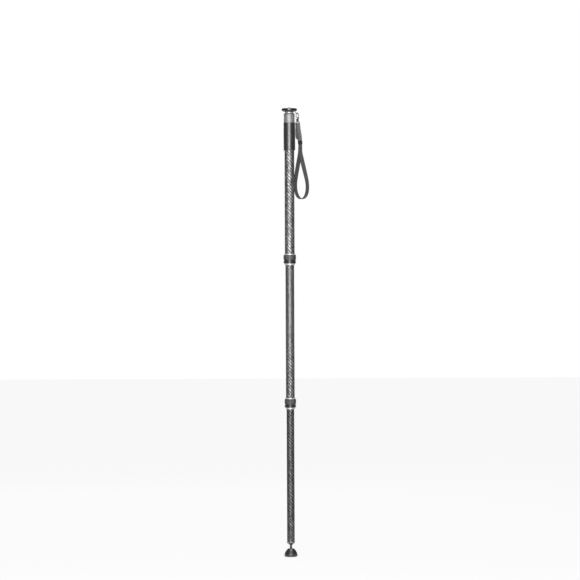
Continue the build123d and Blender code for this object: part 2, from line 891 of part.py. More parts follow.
# The short webbing link from the eye to the keeper, across and below the bail's bar
link_route = [
    (6.9, -104.5),
    (6.8, -96.5),
    (-6.2, -89.5),
    (-6.9, -79.0),
    (-5.6, -60.0),
    (-3.5, -46.0),
    (-3.3, -33.8),
    (3.3, -33.8),
    (3.5, -46.0),
    (5.6, -60.0),
    (8.4, -74.0),
    (10.2, -86.0),
    (9.3, -96.5),
    (9.2, -104.5),
]
link_radii = corner_radii(link_route, {6: link_bend_r, 7: link_bend_r})
strap_link = webbing(link_route, link_radii, web_width, link_thick, "strap_link")
strap_link.label = "strap_link"
export_step(strap_link, "parts/strap_link.step")

# The wrist loop, from the keeper round and back to the keeper
loop_route = [
    (6.9, -105.0),
    (6.9, -113.5),
    (5.7, -127.0),
    (3.9, -142.0),
    (-2.6, -163.0),
    (-13.4, -193.0),
    (-24.6, -225.0),
    (-33.2, -257.0),
    (-31.2, -287.0),
    (-18.0, -308.0),
    (1.5, -314.5),
    (21.0, -307.5),
    (34.4, -287.0),
    (36.6, -257.0),
    (28.6, -225.0),
    (19.4, -193.0),
    (11.6, -163.0),
    (6.5, -142.0),
    (8.1, -127.0),
    (9.2, -113.5),
    (9.2, -105.0),
]
loop_radii = corner_radii(loop_route, {})
wrist_loop = webbing(loop_route, loop_radii, web_width, web_thick, "wrist_loop")
wrist_loop.label = "wrist_loop"
export_step(wrist_loop, "parts/wrist_loop.step")

# Keeper sleeve that holds the link and the loop together
with BuildPart() as strap_keeper:
    with BuildSketch(strap_level.offset(-keeper_top)):
        with Locations((keeper_across, 0)):
            RectangleRounded(
                slot_across + keeper_wall + keeper_wall,
                web_width + keeper_play + keeper_wall + keeper_wall,
                keeper_wall,
            )
            Rectangle(slot_across, web_width + keeper_play, mode=Mode.SUBTRACT)
    extrude(amount=-keeper_length)
strap_keeper.part.label = "strap_keeper"
export_step(strap_keeper.part, "parts/strap_keeper.step")
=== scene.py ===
"""Dresses the camera monopod's frame: woven tubes, twist locks, grip, foot, snap hook and strap.

Metres, +Z up. The origin is the centre of the foot's flat face, and the strap hangs on the +X side.
"""

import json
import logging
import math
from dataclasses import dataclass
from enum import Enum
from functools import cache
from typing import Callable, Optional, Sequence, Union

import bmesh
import bpy
import numpy as np
from mathutils import Matrix, Vector


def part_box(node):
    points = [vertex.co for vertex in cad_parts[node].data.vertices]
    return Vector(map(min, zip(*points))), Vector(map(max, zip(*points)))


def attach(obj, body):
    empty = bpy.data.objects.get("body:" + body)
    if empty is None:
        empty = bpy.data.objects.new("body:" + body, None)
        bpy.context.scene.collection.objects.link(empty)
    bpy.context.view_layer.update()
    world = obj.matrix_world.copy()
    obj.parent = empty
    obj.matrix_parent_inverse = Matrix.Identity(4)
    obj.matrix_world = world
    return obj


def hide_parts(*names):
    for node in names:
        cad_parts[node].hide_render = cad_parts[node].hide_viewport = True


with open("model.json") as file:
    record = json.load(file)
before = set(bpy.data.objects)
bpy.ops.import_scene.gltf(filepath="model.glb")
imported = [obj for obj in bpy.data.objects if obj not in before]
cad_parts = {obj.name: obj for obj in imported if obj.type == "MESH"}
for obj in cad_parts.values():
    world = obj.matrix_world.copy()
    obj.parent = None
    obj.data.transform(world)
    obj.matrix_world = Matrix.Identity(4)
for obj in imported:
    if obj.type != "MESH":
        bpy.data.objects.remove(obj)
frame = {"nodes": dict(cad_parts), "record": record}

log = logging.getLogger("monopod")

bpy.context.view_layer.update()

MM = 0.001
CRISP = 0.1 * MM
SMALLEST_ROUND = 0.03 * MM
FULL_TURN = 2 * math.pi
FLAT_TURN = math.radians(0.4)
SHARP_TURN = math.radians(32.0)

UPPER_R = 18.0 * MM
MIDDLE_R = 16.0 * MM
LOWER_R = 14.0 * MM
WALL = 1.3 * MM

Colour = tuple[float, float, float]
Corner = tuple[float, float, float]
Corners = Sequence[Sequence[float]]
Socket = bpy.types.NodeSocket
Input = Union[float, Sequence[float], Socket]
Ripple = Callable[[np.ndarray, np.ndarray, np.ndarray], np.ndarray]


class Lay(Enum):
    """How the lines of a turned finish run: round the axis, or along it."""

    AROUND = (1.0, 60.0)
    ALONG = (60.0, 1.0)


# Node graphs


class Graph:
    """Adds nodes to a tree and links or sets their inputs."""

    def __init__(self, tree: bpy.types.NodeTree) -> None:
        """Works on a material's, world's or group's tree."""
        self.tree = tree

    def fill(self, node: bpy.types.Node, inputs: dict) -> None:
        """Sets a node's inputs to values, or links them to sockets.

        Args:
            node: the node.
            inputs: values or sockets, by the input's number, or its name with _ for a space.
        """
        for key, value in inputs.items():
            socket = node.inputs[key.replace("_", " ") if isinstance(key, str) else key]
            if isinstance(value, Socket):
                self.tree.links.new(value, socket)
            else:
                socket.default_value = value

    def add(self, kind: str, inputs: Optional[dict] = None, **settings: object) -> bpy.types.Node:
        """Adds one node.

        Args:
            kind: the node's type name.
            inputs: values or sockets, as for fill().
            settings: properties of the node.

        Returns:
            The new node.
        """
        node = self.tree.nodes.new(kind)
        for key, value in settings.items():
            setattr(node, key, value)
        self.fill(node, inputs or {})
        return node

    def math(self, operation: str, *values: Input) -> Socket:
        """Adds a Math node and returns its result."""
        return self.add("ShaderNodeMath", dict(enumerate(values)), operation=operation).outputs[0]

    def axes(self, vector: Socket) -> bpy.types.NodeOutputs:
        """Splits a vector into its X, Y and Z."""
        return self.add("ShaderNodeSeparateXYZ", {0: vector}).outputs

    def blend(self, share: Input, low: Input, high: Input) -> Socket:
        """Mixes two colours, from low at 0 to high at 1."""
        return self.add("ShaderNodeMix", {0: share, 6: low, 7: high}, data_type="RGBA").outputs[2]

    def between(self, value: Input, low: Input, high: Input) -> Socket:
        """Takes a value from 0 to 1 to the span from low to high."""
        span = {"Value": value, "To Min": low, "To Max": high}
        return self.add("ShaderNodeMapRange", span).outputs[0]

    def step(self, value: Input, start: float, end: float) -> Socket:
        """Rises smoothly from 0 at start to 1 at end."""
        span = {"Value": value, "From Min": start, "From Max": end}
        return self.add("ShaderNodeMapRange", span, interpolation_type="SMOOTHSTEP").outputs[0]

    def noise(self, place: Input, scale: Input, detail: float) -> Socket:
        """Adds a Noise texture and returns its value."""
        inputs = {"Vector": place, "Scale": scale, "Detail": detail}
        return self.add("ShaderNodeTexNoise", inputs).outputs[0]

    def place(self) -> Socket:
        """Returns the Object coordinates."""
        return self.add("ShaderNodeTexCoord").outputs["Object"]

    def bump(self, height: Input, distance: float, strength: float) -> Socket:
        """Adds a Bump node of that depth in metres and returns its normal."""
        inputs = {"Height": height, "Distance": distance, "Strength": strength}
        return self.add("ShaderNodeBump", inputs).outputs[0]

    def group(self, build: Callable, **inputs: Input) -> bpy.types.NodeOutputs:
        """Places a shared group, which its function builds once, and returns its outputs."""
        return self.add("ShaderNodeGroup", inputs, node_tree=build()).outputs


def new_group(name: str, inputs: Sequence[str], outputs: Sequence[str]) -> tuple:
    """Starts a shader node group whose sockets are floats, but for an input named Vector.

    Args:
        name: the group's name.
        inputs: the input sockets' names.
        outputs: the output sockets' names.

    Returns:
        The group's Graph, the sockets that it is given, and its output node.
    """
    tree = bpy.data.node_groups.new(name, "ShaderNodeTree")
    for way, labels in (("INPUT", inputs), ("OUTPUT", outputs)):
        for label in labels:
            kind = "NodeSocketVector" if label == "Vector" else "NodeSocketFloat"
            tree.interface.new_socket(name=label, in_out=way, socket_type=kind)
    graph = Graph(tree)
    return graph, graph.add("NodeGroupInput").outputs, graph.add("NodeGroupOutput")


@cache
def twill_group() -> bpy.types.NodeTree:
    """Builds the two-over-two twill of flat tows wound on a tube.

    The tow's number round the tube and its number up the tube are added, and the sum's remainder
    by four says which of the two tows lies on top. Each tow's height is a parabola across it, and
    each float, the stretch of a tow between two crossings, has a chance value of its own.

    Returns:
        A group that gives the top tow's kind, the height, a streak along the fibres and the chance.
    """
    outputs = ("Upright", "Height", "Streak", "Chance")
    graph, given, end = new_group("Twill of tows", ("Vector", "Around", "Tow"), outputs)
    repeat, stretch = 4.0, 9.0
    axes = graph.axes(given["Vector"])
    turn = graph.math("DIVIDE", graph.math("ARCTAN2", axes[1], axes[0]), FULL_TURN)
    across = graph.math("MULTIPLY", graph.math("ADD", turn, 0.5), given["Around"])
    along = graph.math("DIVIDE", axes[2], given["Tow"])
    column, row = graph.math("FLOOR", across), graph.math("FLOOR", along)
    number = graph.math("ADD", column, row)
    upright = graph.math("LESS_THAN", graph.math("MODULO", number, repeat), repeat / 2)
    level = graph.math("SUBTRACT", 1.0, upright)
    tow = graph.between(upright, graph.math("ADD", row, 0.5), column)
    run = graph.math("FLOOR", graph.math("DIVIDE", number, repeat))
    cell = graph.add("ShaderNodeCombineXYZ", {0: tow, 1: run}).outputs[0]
    crowns, fibres = [], {}
    for axis, (value, kind) in enumerate(((across, upright), (along, level))):
        side = graph.math("MULTIPLY_ADD", graph.math("FRACT", value), 2.0, -1.0)
        crowns.append(graph.math("SUBTRACT", 1.0, graph.math("MULTIPLY", side, side)))
        fine = graph.math("MULTIPLY_ADD", kind, stretch, 1.0)
        fibres[axis] = graph.math("MULTIPLY", value, fine)
    results = {
        "Upright": upright,
        "Height": graph.between(upright, crowns[1], crowns[0]),
        "Streak": graph.noise(graph.add("ShaderNodeCombineXYZ", fibres).outputs[0], 1.3, 3.0),
        "Chance": graph.add("ShaderNodeTexWhiteNoise", {"Vector": cell}).outputs["Value"],
    }
    graph.fill(end, results)
    return graph.tree


@cache
def grain_group() -> bpy.types.NodeTree:
    """Builds moulded or cast grain: fine noise over a coarser, weaker one.

    Returns:
        A group that gives the grain's height and a slow mottle.
    """
    graph, given, end = new_group("Moulded grain", ("Vector", "Scale"), ("Height", "Mottle"))
    fine = graph.noise(given["Vector"], given["Scale"], 4.0)
    slow = graph.noise(given["Vector"], 55.0, 3.0)
    height = graph.math("MULTIPLY_ADD", slow, 0.3, graph.math("MULTIPLY", fine, 0.7))
    graph.fill(end, {"Height": height, "Mottle": slow})
    return graph.tree


@cache
def wear_group() -> bpy.types.NodeTree:
    """Builds handling wear: a rounded edge, taken from the edge value, broken up by noise.

    Returns:
        A group that gives the wear from 0 to 1.
    """
    graph, given, end = new_group("Handling wear", ("Vector", "Edge", "Amount"), ("Wear",))
    patches = graph.step(graph.noise(given["Vector"], 240.0, 4.0), 0.42, 0.66)
    worn = graph.math("MULTIPLY", patches, given["Edge"])
    graph.fill(end, {"Wear": graph.math("MULTIPLY", worn, given["Amount"])})
    return graph.tree


@cache
def web_group() -> bpy.types.NodeTree:
    """Builds flat webbing: picks across the band, chevrons of warp along it, and selvedges.

    Returns:
        A group that gives the height, the gap between threads and the selvedges.
    """
    inputs = ("Vector", "Warp", "Pick", "Middle", "Border")
    graph, given, end = new_group("Webbing", inputs, ("Height", "Gap", "Selvedge"))
    axes = graph.axes(given["Vector"])
    warp = graph.math("DIVIDE", axes[0], given["Warp"])
    pick = graph.math("DIVIDE", axes[1], given["Pick"])
    lean = graph.math("MULTIPLY", graph.math("PINGPONG", warp, 4.0), 0.5)
    over = graph.math("PINGPONG", graph.math("FLOOR", graph.math("ADD", lean, pick)), 1.0)
    ridge = graph.math("SINE", graph.math("MULTIPLY", warp, FULL_TURN))
    rib = graph.math("ABSOLUTE", graph.math("SINE", graph.math("MULTIPLY", pick, math.pi)))
    height = graph.math("MULTIPLY_ADD", ridge, 0.25, graph.math("MULTIPLY", rib, 0.5))
    off = graph.math("ABSOLUTE", graph.math("SUBTRACT", axes[0], given["Middle"]))
    inside = graph.math("SUBTRACT", given["Middle"], given["Border"])
    results = {
        "Height": graph.math("MULTIPLY_ADD", over, 0.25, height),
        "Gap": graph.math("SUBTRACT", 1.0, graph.step(rib, 0.0, 0.45)),
        "Selvedge": graph.math("GREATER_THAN", off, inside),
    }
    graph.fill(end, results)
    return graph.tree


def new_material(name: str) -> tuple[bpy.types.Material, Graph, bpy.types.Node]:
    """Starts a node material.

    Args:
        name: the material's name.

    Returns:
        The material, its Graph and its Principled node.
    """
    material = bpy.data.materials.new(name)
    material.use_nodes = True
    return material, Graph(material.node_tree), material.node_tree.nodes["Principled BSDF"]


# Finishes


def tint(colour: Colour, share: float = 1.0, extra: float = 0.0) -> tuple[float, ...]:
    """Returns share times the colour plus extra, with an alpha of 1."""
    return (*(share * part + extra for part in colour), 1.0)


@dataclass(frozen=True)
class Finish:
    """A finish, whose kinds give the inputs of the Principled node."""

    name: str

    @cache
    def material(self) -> bpy.types.Material:
        """Builds the material, the first time that it is asked for.

        Returns:
            The material.
        """
        material, graph, shader = new_material(self.name)
        graph.fill(shader, self.inputs(graph))
        return material

    def inputs(self, graph: Graph) -> dict[str, Input]:
        """Works out the Principled node's inputs in the material's graph."""
        raise NotImplementedError

    def mottled(self, graph: Graph, share: Socket, low: float, high: float) -> Socket:
        """Mixes low times the finish's colour with high times it."""
        return graph.blend(share, tint(self.colour, low), tint(self.colour, high))

    def rough(self, graph: Graph, share: Socket, less: float, more: float) -> Socket:
        """Spreads the roughness, from less under the finish's own to more over it."""
        return graph.between(share, self.roughness - less, self.roughness + more)

    def worn(self, graph: Graph, place: Socket, whole: Socket, bare: Input) -> Socket:
        """Lets the bare colour through where hands have worn the edges.

        Args:
            graph: the material's graph.
            place: the Object coordinates.
            whole: the colour of the whole surface.
            bare: the colour under it.

        Returns:
            The colour.
        """
        edge = graph.add("ShaderNodeAttribute", attribute_name="edge").outputs["Fac"]
        wear = graph.group(wear_group, Vector=place, Edge=edge, Amount=self.wear)["Wear"]
        return graph.blend(wear, whole, bare)


@dataclass(frozen=True)
class WovenCarbon(Finish):
    """Silvery carbon cloth wound on a tube, under satin lacquer."""

    around: int
    # Painted shade: scales the light tows, painting the upper tube lighter and the lower tubes
    # darker.
    shade: float
    tow: float = 3.1 * MM
    # The light and the dark tows' colours; much of their difference is painted sheen.
    bright: Colour = (0.5, 0.505, 0.51)
    dull: Colour = (0.012, 0.012, 0.013)
    roughness: float = 0.47

    def inputs(self, graph: Graph) -> dict[str, Input]:
        """Paints upright tows lighter than level ones, a painted sheen, each float by its own
        chance.

        Args:
            graph: the material's graph.

        Returns:
            The Principled node's inputs.
        """
        around = float(self.around)
        cloth = graph.group(twill_group, Vector=graph.place(), Around=around, Tow=self.tow)
        # Painted sheen: upright tows are painted lighter than level ones.
        tone = graph.math("MULTIPLY_ADD", cloth["Upright"], 0.52, -0.02)
        tone = graph.math("MULTIPLY_ADD", cloth["Streak"], 0.5, tone)
        tone = graph.math("MULTIPLY", tone, graph.between(cloth["Chance"], 0.4, 1.6))
        tone = graph.math("MULTIPLY", tone, graph.step(cloth["Height"], 0.0, 0.5))
        # The light tows are scaled by the tube's shade, which is painted shade.
        return dict(
            Base_Color=graph.blend(tone, tint(self.dull), tint(self.bright, self.shade)),
            Roughness=self.rough(graph, cloth["Streak"], 0.06, 0.1),
            Normal=graph.bump(cloth["Height"], 0.2 * MM, 0.8),
            Metallic=1.0,
            Coat_Weight=0.2,
            Coat_Roughness=0.2,
        )


@dataclass(frozen=True)
class Anodised(Finish):
    """Dark anodised aluminium, worn to metal on its edges."""

    colour: Colour = (0.018, 0.018, 0.02)
    bare: Colour = (0.35, 0.35, 0.36)
    roughness: float = 0.34
    wear: float = 0.5
    polish: float = 0.6

    def inputs(self, graph: Graph) -> dict[str, Input]:
        """Gives the metal a faint blasted grain.

        Args:
            graph: the material's graph.

        Returns:
            The Principled node's inputs.
        """
        place = graph.place()
        grain = graph.group(grain_group, Vector=place, Scale=2600.0)
        whole = self.mottled(graph, grain["Mottle"], 0.8, 1.25)
        return dict(
            Base_Color=self.worn(graph, place, whole, tint(self.bare)),
            Roughness=self.rough(graph, grain["Mottle"], 0.05, 0.09),
            Normal=graph.bump(grain["Height"], 0.02 * MM, 0.5),
            Metallic=0.35,
            Coat_Weight=self.polish,
            Coat_Roughness=0.2,
        )


@dataclass(frozen=True)
class Turned(Finish):
    """Bare metal with the fine lines that a lathe leaves."""

    colour: Colour
    roughness: float
    lay: Lay = Lay.AROUND
    metallic: float = 1.0

    def inputs(self, graph: Graph) -> dict[str, Input]:
        """Lets noise that is stretched along the lines drive bump and roughness.

        Args:
            graph: the material's graph.

        Returns:
            The Principled node's inputs.
        """
        place = graph.place()
        level, upright = self.lay.value
        pull = {0: place, 1: (level, level, upright)}
        stretched = graph.add("ShaderNodeVectorMath", pull, operation="MULTIPLY").outputs[0]
        lines = graph.noise(stretched, 160.0, 5.0)
        return dict(
            Base_Color=self.mottled(graph, graph.noise(place, 45.0, 3.0), 0.86, 1.06),
            Roughness=self.rough(graph, lines, 0.08, 0.12),
            Normal=graph.bump(lines, 0.02 * MM, 0.4),
            Metallic=self.metallic,
        )


@dataclass(frozen=True)
class Moulded(Finish):
    """Rubber or nylon with moulded grain, grey where its edges are worn."""

    colour: Colour
    roughness: float
    grain: float = 1700.0
    depth: float = 0.05 * MM
    wear: float = 0.25
    gloss: float = 0.4
    polish: float = 0.0

    def inputs(self, graph: Graph) -> dict[str, Input]:
        """Mottles and roughens the surface by its grain.

        Args:
            graph: the material's graph.

        Returns:
            The Principled node's inputs.
        """
        place = graph.place()
        grain = graph.group(grain_group, Vector=place, Scale=self.grain)
        whole = self.mottled(graph, grain["Mottle"], 0.75, 1.35)
        return dict(
            Base_Color=self.worn(graph, place, whole, tint(self.colour, 2.6, 0.02)),
            Roughness=self.rough(graph, grain["Mottle"], 0.08, 0.12),
            Normal=graph.bump(grain["Height"], self.depth, 0.6),
            Specular_IOR_Level=self.gloss,
            Coat_Weight=self.polish,
            Coat_Roughness=0.3,
        )


@dataclass(frozen=True)
class Cast(Finish):
    """Plated or painted die casting with faint orange peel."""

    colour: Colour
    roughness: float
    metallic: float
    peel: float = 420.0
    depth: float = 0.04 * MM

    def inputs(self, graph: Graph) -> dict[str, Input]:
        """Mottles and roughens the casting by its peel.

        Args:
            graph: the material's graph.

        Returns:
            The Principled node's inputs.
        """
        grain = graph.group(grain_group, Vector=graph.place(), Scale=self.peel)
        return dict(
            Base_Color=self.mottled(graph, grain["Mottle"], 0.78, 1.18),
            Roughness=self.rough(graph, grain["Height"], 0.03, 0.08),
            Normal=graph.bump(grain["Height"], self.depth, 0.5),
            Metallic=self.metallic,
        )


@dataclass(frozen=True)
class Woven(Finish):
    """Flat webbing, read from the piece's own UV map, which is in metres."""

    colour: Colour = (0.038, 0.038, 0.04)
    # The colour that raised threads are painted towards: a painted highlight, and the chevron
    # pattern's lighter tone.
    thread: Colour = (0.09, 0.09, 0.093)
    warp: float = 1.0 * MM
    pick: float = 0.9 * MM
    width: float = 16.0 * MM
    border: float = 1.5 * MM
    border_shade: float = 0.45

    def inputs(self, graph: Graph) -> dict[str, Input]:
        """Lightens the raised threads, a painted highlight that also carries the chevron pattern,
        paints shade into the gaps, and darkens the selvedges.

        Args:
            graph: the material's graph.

        Returns:
            The Principled node's inputs.
        """
        cloth = graph.group(
            web_group,
            Vector=graph.add("ShaderNodeUVMap", uv_map="weave").outputs[0],
            Warp=self.warp,
            Pick=self.pick,
            Middle=self.width / 2,
            Border=self.border,
        )
        fuzz = graph.noise(graph.place(), 900.0, 3.0)
        # Painted highlight: the higher a thread stands, the nearer it comes to the thread colour;
        # the chevron pattern is part of the height.
        tone = graph.math("MULTIPLY", cloth["Height"], graph.between(fuzz, 0.6, 1.3))
        shade = graph.between(cloth["Selvedge"], 1.0, self.border_shade)
        tone = graph.math("MULTIPLY", tone, shade)
        colour = graph.blend(tone, tint(self.colour), tint(self.thread))
        return dict(
            # Painted shade: the gaps between threads are painted at half the colour.
            Base_Color=graph.blend(cloth["Gap"], colour, tint(self.colour, 0.5)),
            Roughness=graph.between(fuzz, 0.72, 0.92),
            Normal=graph.bump(cloth["Height"], 0.25 * MM, 0.8),
            Sheen_Weight=0.25,
            Sheen_Roughness=0.45,
        )


SATIN_BLACK = Anodised("satin_black_anodising")
PLATE_BLACK = Anodised(
    "gloss_black_plate", (0.008, 0.008, 0.009), (0.35, 0.35, 0.36), 0.28, 0.4, 1.0
)
BRIGHT = Turned("bright_turned_aluminium", (0.72, 0.73, 0.74), 0.42, Lay.AROUND, 0.6)
STEEL = Turned("stainless_steel", (0.62, 0.62, 0.61), 0.25)
DARK_STEEL = Turned("dark_steel", (0.26, 0.26, 0.265), 0.3)
DARK_BRIGHT = Turned("dark_turned_ferrule", (0.28, 0.28, 0.285), 0.26)
SPRING = Turned("spring_steel", (0.5, 0.5, 0.5), 0.3, Lay.ALONG)
BLACK_OXIDE = Turned("black_oxide", (0.05, 0.05, 0.052), 0.38)
COLLAR_GREY = Cast("silver_grey_collar", (0.34, 0.343, 0.35), 0.5, 0.65, 900.0, 0.004 * MM)
GUNMETAL = Cast("gunmetal_casting", (0.04, 0.04, 0.042), 0.34, 0.8)
LOCK_RUBBER = Moulded(
    "ribbed_lock_rubber", (0.018, 0.018, 0.019), 0.4, 1700.0, 0.05 * MM, 0.25, 0.6, 0.8
)
PLATE_RUBBER = Moulded("plate_rubber", (0.02, 0.02, 0.021), 0.7)
GRIP_RUBBER = Moulded(
    "smooth_grip_rubber", (0.011, 0.011, 0.012), 0.34, 900.0, 0.03 * MM, 0.15, 0.8, 1.0
)
FOOT_RUBBER = Moulded(
    "foot_rubber", (0.009, 0.009, 0.01), 0.4, 1200.0, 0.05 * MM, 0.3, 0.7, 0.7
)
BLACK_NYLON = Moulded("black_nylon", (0.028, 0.028, 0.03), 0.42, 2200.0, 0.02 * MM)
WHITE_NYLON = Moulded("white_nylon", (0.7, 0.69, 0.65), 0.45, 2200.0, 0.02 * MM, 0.0)
FELT = Moulded("pressed_felt", (0.16, 0.16, 0.16), 0.95, 3000.0, 0.2 * MM, 0.0, 0.1)
LOOP_WEB = Woven("black_webbing")
LINK_WEB = Woven("grey_webbing", (0.1, 0.098, 0.094), (0.23, 0.225, 0.215))
THREAD = Moulded("sewing_thread", (0.16, 0.16, 0.165), 0.7, 2500.0, 0.05 * MM, 0.0, 0.2)


# The frame's nodes


def body_of(node: str) -> str:
    """Returns the name of the body that a CAD node is in."""
    bodies = frame["record"]["behaviour"]["bodies"]
    return next(body for body, members in bodies.items() if node in members)


def heights(node: str) -> tuple[float, float]:
    """Returns the lowest and the highest Z of a CAD node."""
    low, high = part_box(node)
    return low.z, high.z


def cover(thing: bpy.types.Object, finish: Finish) -> None:
    """Gives an object one finish."""
    thing.data.materials.clear()
    thing.data.materials.append(finish.material())


def repaint(finish: Finish, *nodes: str) -> None:
    """Gives carried-over CAD nodes a finish."""
    for node in nodes:
        cover(frame["nodes"][node], finish)


def dress(
    thing: bpy.types.Object, finish: Finish, node: str, stands: bool = True
) -> bpy.types.Object:
    """Gives a new piece its finish, and the body of a CAD node.

    Args:
        thing: the piece.
        finish: what it is made of.
        node: the CAD node.
        stands: whether the piece stands for the node, or only goes with it.

    Returns:
        The piece.
    """
    cover(thing, finish)
    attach(thing, body_of(node))
    if stands:
        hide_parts(node)
    log.info("%s: %d faces", thing.name, len(thing.data.polygons))
    return thing


# Shapes


def new_object(name: str, data: bpy.types.ID) -> bpy.types.Object:
    """Makes an object and links it to the scene.

    Args:
        name: the object's name.
        data: its mesh, lamp or camera.

    Returns:
        The object.
    """
    thing = bpy.data.objects.new(name, data)
    bpy.context.scene.collection.objects.link(thing)
    return thing


def read(items: bpy.types.bpy_prop_collection, name: str, width: int = 1) -> np.ndarray:
    """Reads a property of every item, of one whole number or of several measures.

    Args:
        items: a mesh's vertices, corners or faces.
        name: the property.
        width: how many numbers it has.

    Returns:
        The numbers, with a row for each item where there are several.
    """
    values = np.zeros(len(items) * width, np.int32 if width == 1 else float)
    items.foreach_get(name, values)
    return values if width == 1 else values.reshape(-1, width)


def lengths(points: np.ndarray) -> np.ndarray:
    """Returns each point's distance along the line through the points."""
    return np.concatenate(([0.0], np.cumsum(np.linalg.norm(np.diff(points, axis=0), axis=1))))


def read_at(wanted: np.ndarray, marks: np.ndarray, table: np.ndarray) -> np.ndarray:
    """Interpolates a table, whose rows stand at the marks, at the wanted places."""
    return np.column_stack([np.interp(wanted, marks, column) for column in table.T])


@dataclass(frozen=True)
class Outline:
    """A profile with its direction and how rounded it is at each point."""

    points: np.ndarray
    ahead: np.ndarray
    edge: np.ndarray
    closed: bool

    def refined(self, step: float) -> "Outline":
        """Adds points so that none are further apart than step.

        Args:
            step: the largest distance between points.

        Returns:
            The outline with every value interpolated along its length.
        """
        table = np.hstack((self.points, self.ahead, self.edge[:, None]))
        if self.closed:
            table = np.vstack((table, table[:1]))
        marks = lengths(table[:, :2])
        wanted = np.unique(np.round(np.concatenate((marks, np.arange(0.0, marks[-1], step))), 9))
        fine = read_at(wanted, marks, table)
        fine = fine[:-1] if self.closed else fine
        return Outline(fine[:, :2], fine[:, 2:4], fine[:, 4], self.closed)


def rounded(corners: Corners, closed: bool = True, steps: int = 5) -> Outline:
    """Rounds the corners of an outline.

    Each corner is a parabola between the points that lie its reach away on both sides: one minus t
    squared of the first, twice t by one minus t of the corner, and t squared of the last.

    Args:
        corners: (x, y, radius) of each corner, in order.
        closed: whether the last corner joins the first.
        steps: points on each rounded corner.

    Returns:
        The outline.
    """
    table = np.array(corners, float)
    spot, radius = table[:, :2], np.maximum(table[:, 2], SMALLEST_ROUND)
    ways = np.stack([np.roll(spot, shift, axis=0) - spot for shift in (1, -1)])
    runs = np.linalg.norm(ways, axis=2, keepdims=True)
    back, forth = ways / runs
    half = np.arccos(np.clip((back * forth).sum(1), -0.9999, 0.9999)) / 2
    reach = np.minimum(radius / np.tan(half), 0.49 * runs.min(axis=0)[:, 0])[:, None]
    t = np.linspace(0.0, 1.0, steps)[None, :, None]
    bends = (spot + back * reach, spot, spot + forth * reach)
    first, middle, last = (part[:, None] for part in bends)
    points = (1 - t) ** 2 * first + 2 * t * (1 - t) * middle + t**2 * last
    ahead = (1 - t) * (middle - first) + t * (last - middle)
    ahead /= np.linalg.norm(ahead, axis=2, keepdims=True)
    edge = np.broadcast_to(4 * t * (1 - t), points.shape[:2] + (1,))[..., 0].copy()
    if closed:
        return Outline(points.reshape(-1, 2), ahead.reshape(-1, 2), edge.ravel(), True)
    inner = slice(1, -1)
    return Outline(
        np.vstack((spot[:1], points[inner].reshape(-1, 2), spot[-1:])),
        np.vstack((forth[:1], ahead[inner].reshape(-1, 2), -back[-1:])),
        np.concatenate(([0.0], edge[inner].ravel(), [0.0])),
        False,
    )


def ring(inner: float, outer: float, low: float, high: float, radii: Sequence[float]) -> Corners:
    """Lists the corners of a plain ring's section.

    Args:
        inner: inner radius.
        outer: outer radius.
        low: bottom height.
        high: top height.
        radii: the rounding at the outer bottom, outer top, inner top and inner bottom.

    Returns:
        The corners, for rounded().
    """
    spots = ((outer, low), (outer, high), (inner, high), (inner, low))
    return [(*spot, radius) for spot, radius in zip(spots, radii)]


def arc(radius: float, middle: float, turn: np.ndarray, sense: float) -> Corners:
    """Lists corners on a circle about a point of the axis.

    Each lies out by the radius by the sine of its turn, and up by sense by the cosine of it.

    Args:
        radius: the circle's radius.
        middle: its middle's height.
        turn: the turn of each corner.
        sense: 1 for turns from the top, -1 for turns from the foot.

    Returns:
        The corners, for rounded().
    """
    up = middle + sense * radius * np.cos(turn)
    return np.column_stack((radius * np.sin(turn), up, np.zeros_like(turn))).tolist()


def thread(major: float, pitch: float, depth: float, start: float, run: float) -> Ripple:
    """Makes the ripple of a screw thread, a helical groove over a height.

    The groove's depth is a clipped triangle wave of the height in pitches less the angle in turns.

    Args:
        major: the thread's outer radius.
        pitch: its pitch.
        depth: its depth.
        start: the height that it starts at.
        run: the height in which it comes to its depth.

    Returns:
        The ripple, for lathed().
    """

    def cut(angle: np.ndarray, radius: np.ndarray, height: np.ndarray) -> np.ndarray:
        """Cuts the groove.

        Args:
            angle: each point's angle.
            radius: its plain radius.
            height: its height.

        Returns:
            Its new radius.
        """
        phase = np.mod(height / pitch - angle / FULL_TURN, 1.0)
        groove = depth * np.clip(1.4 - 3.4 * np.abs(phase - 0.5), 0.0, 1.0)
        free = np.clip((height - start) / run, 0.0, 1.0)
        return np.where(height > start, np.minimum(radius, major - groove * free), radius)

    return cut


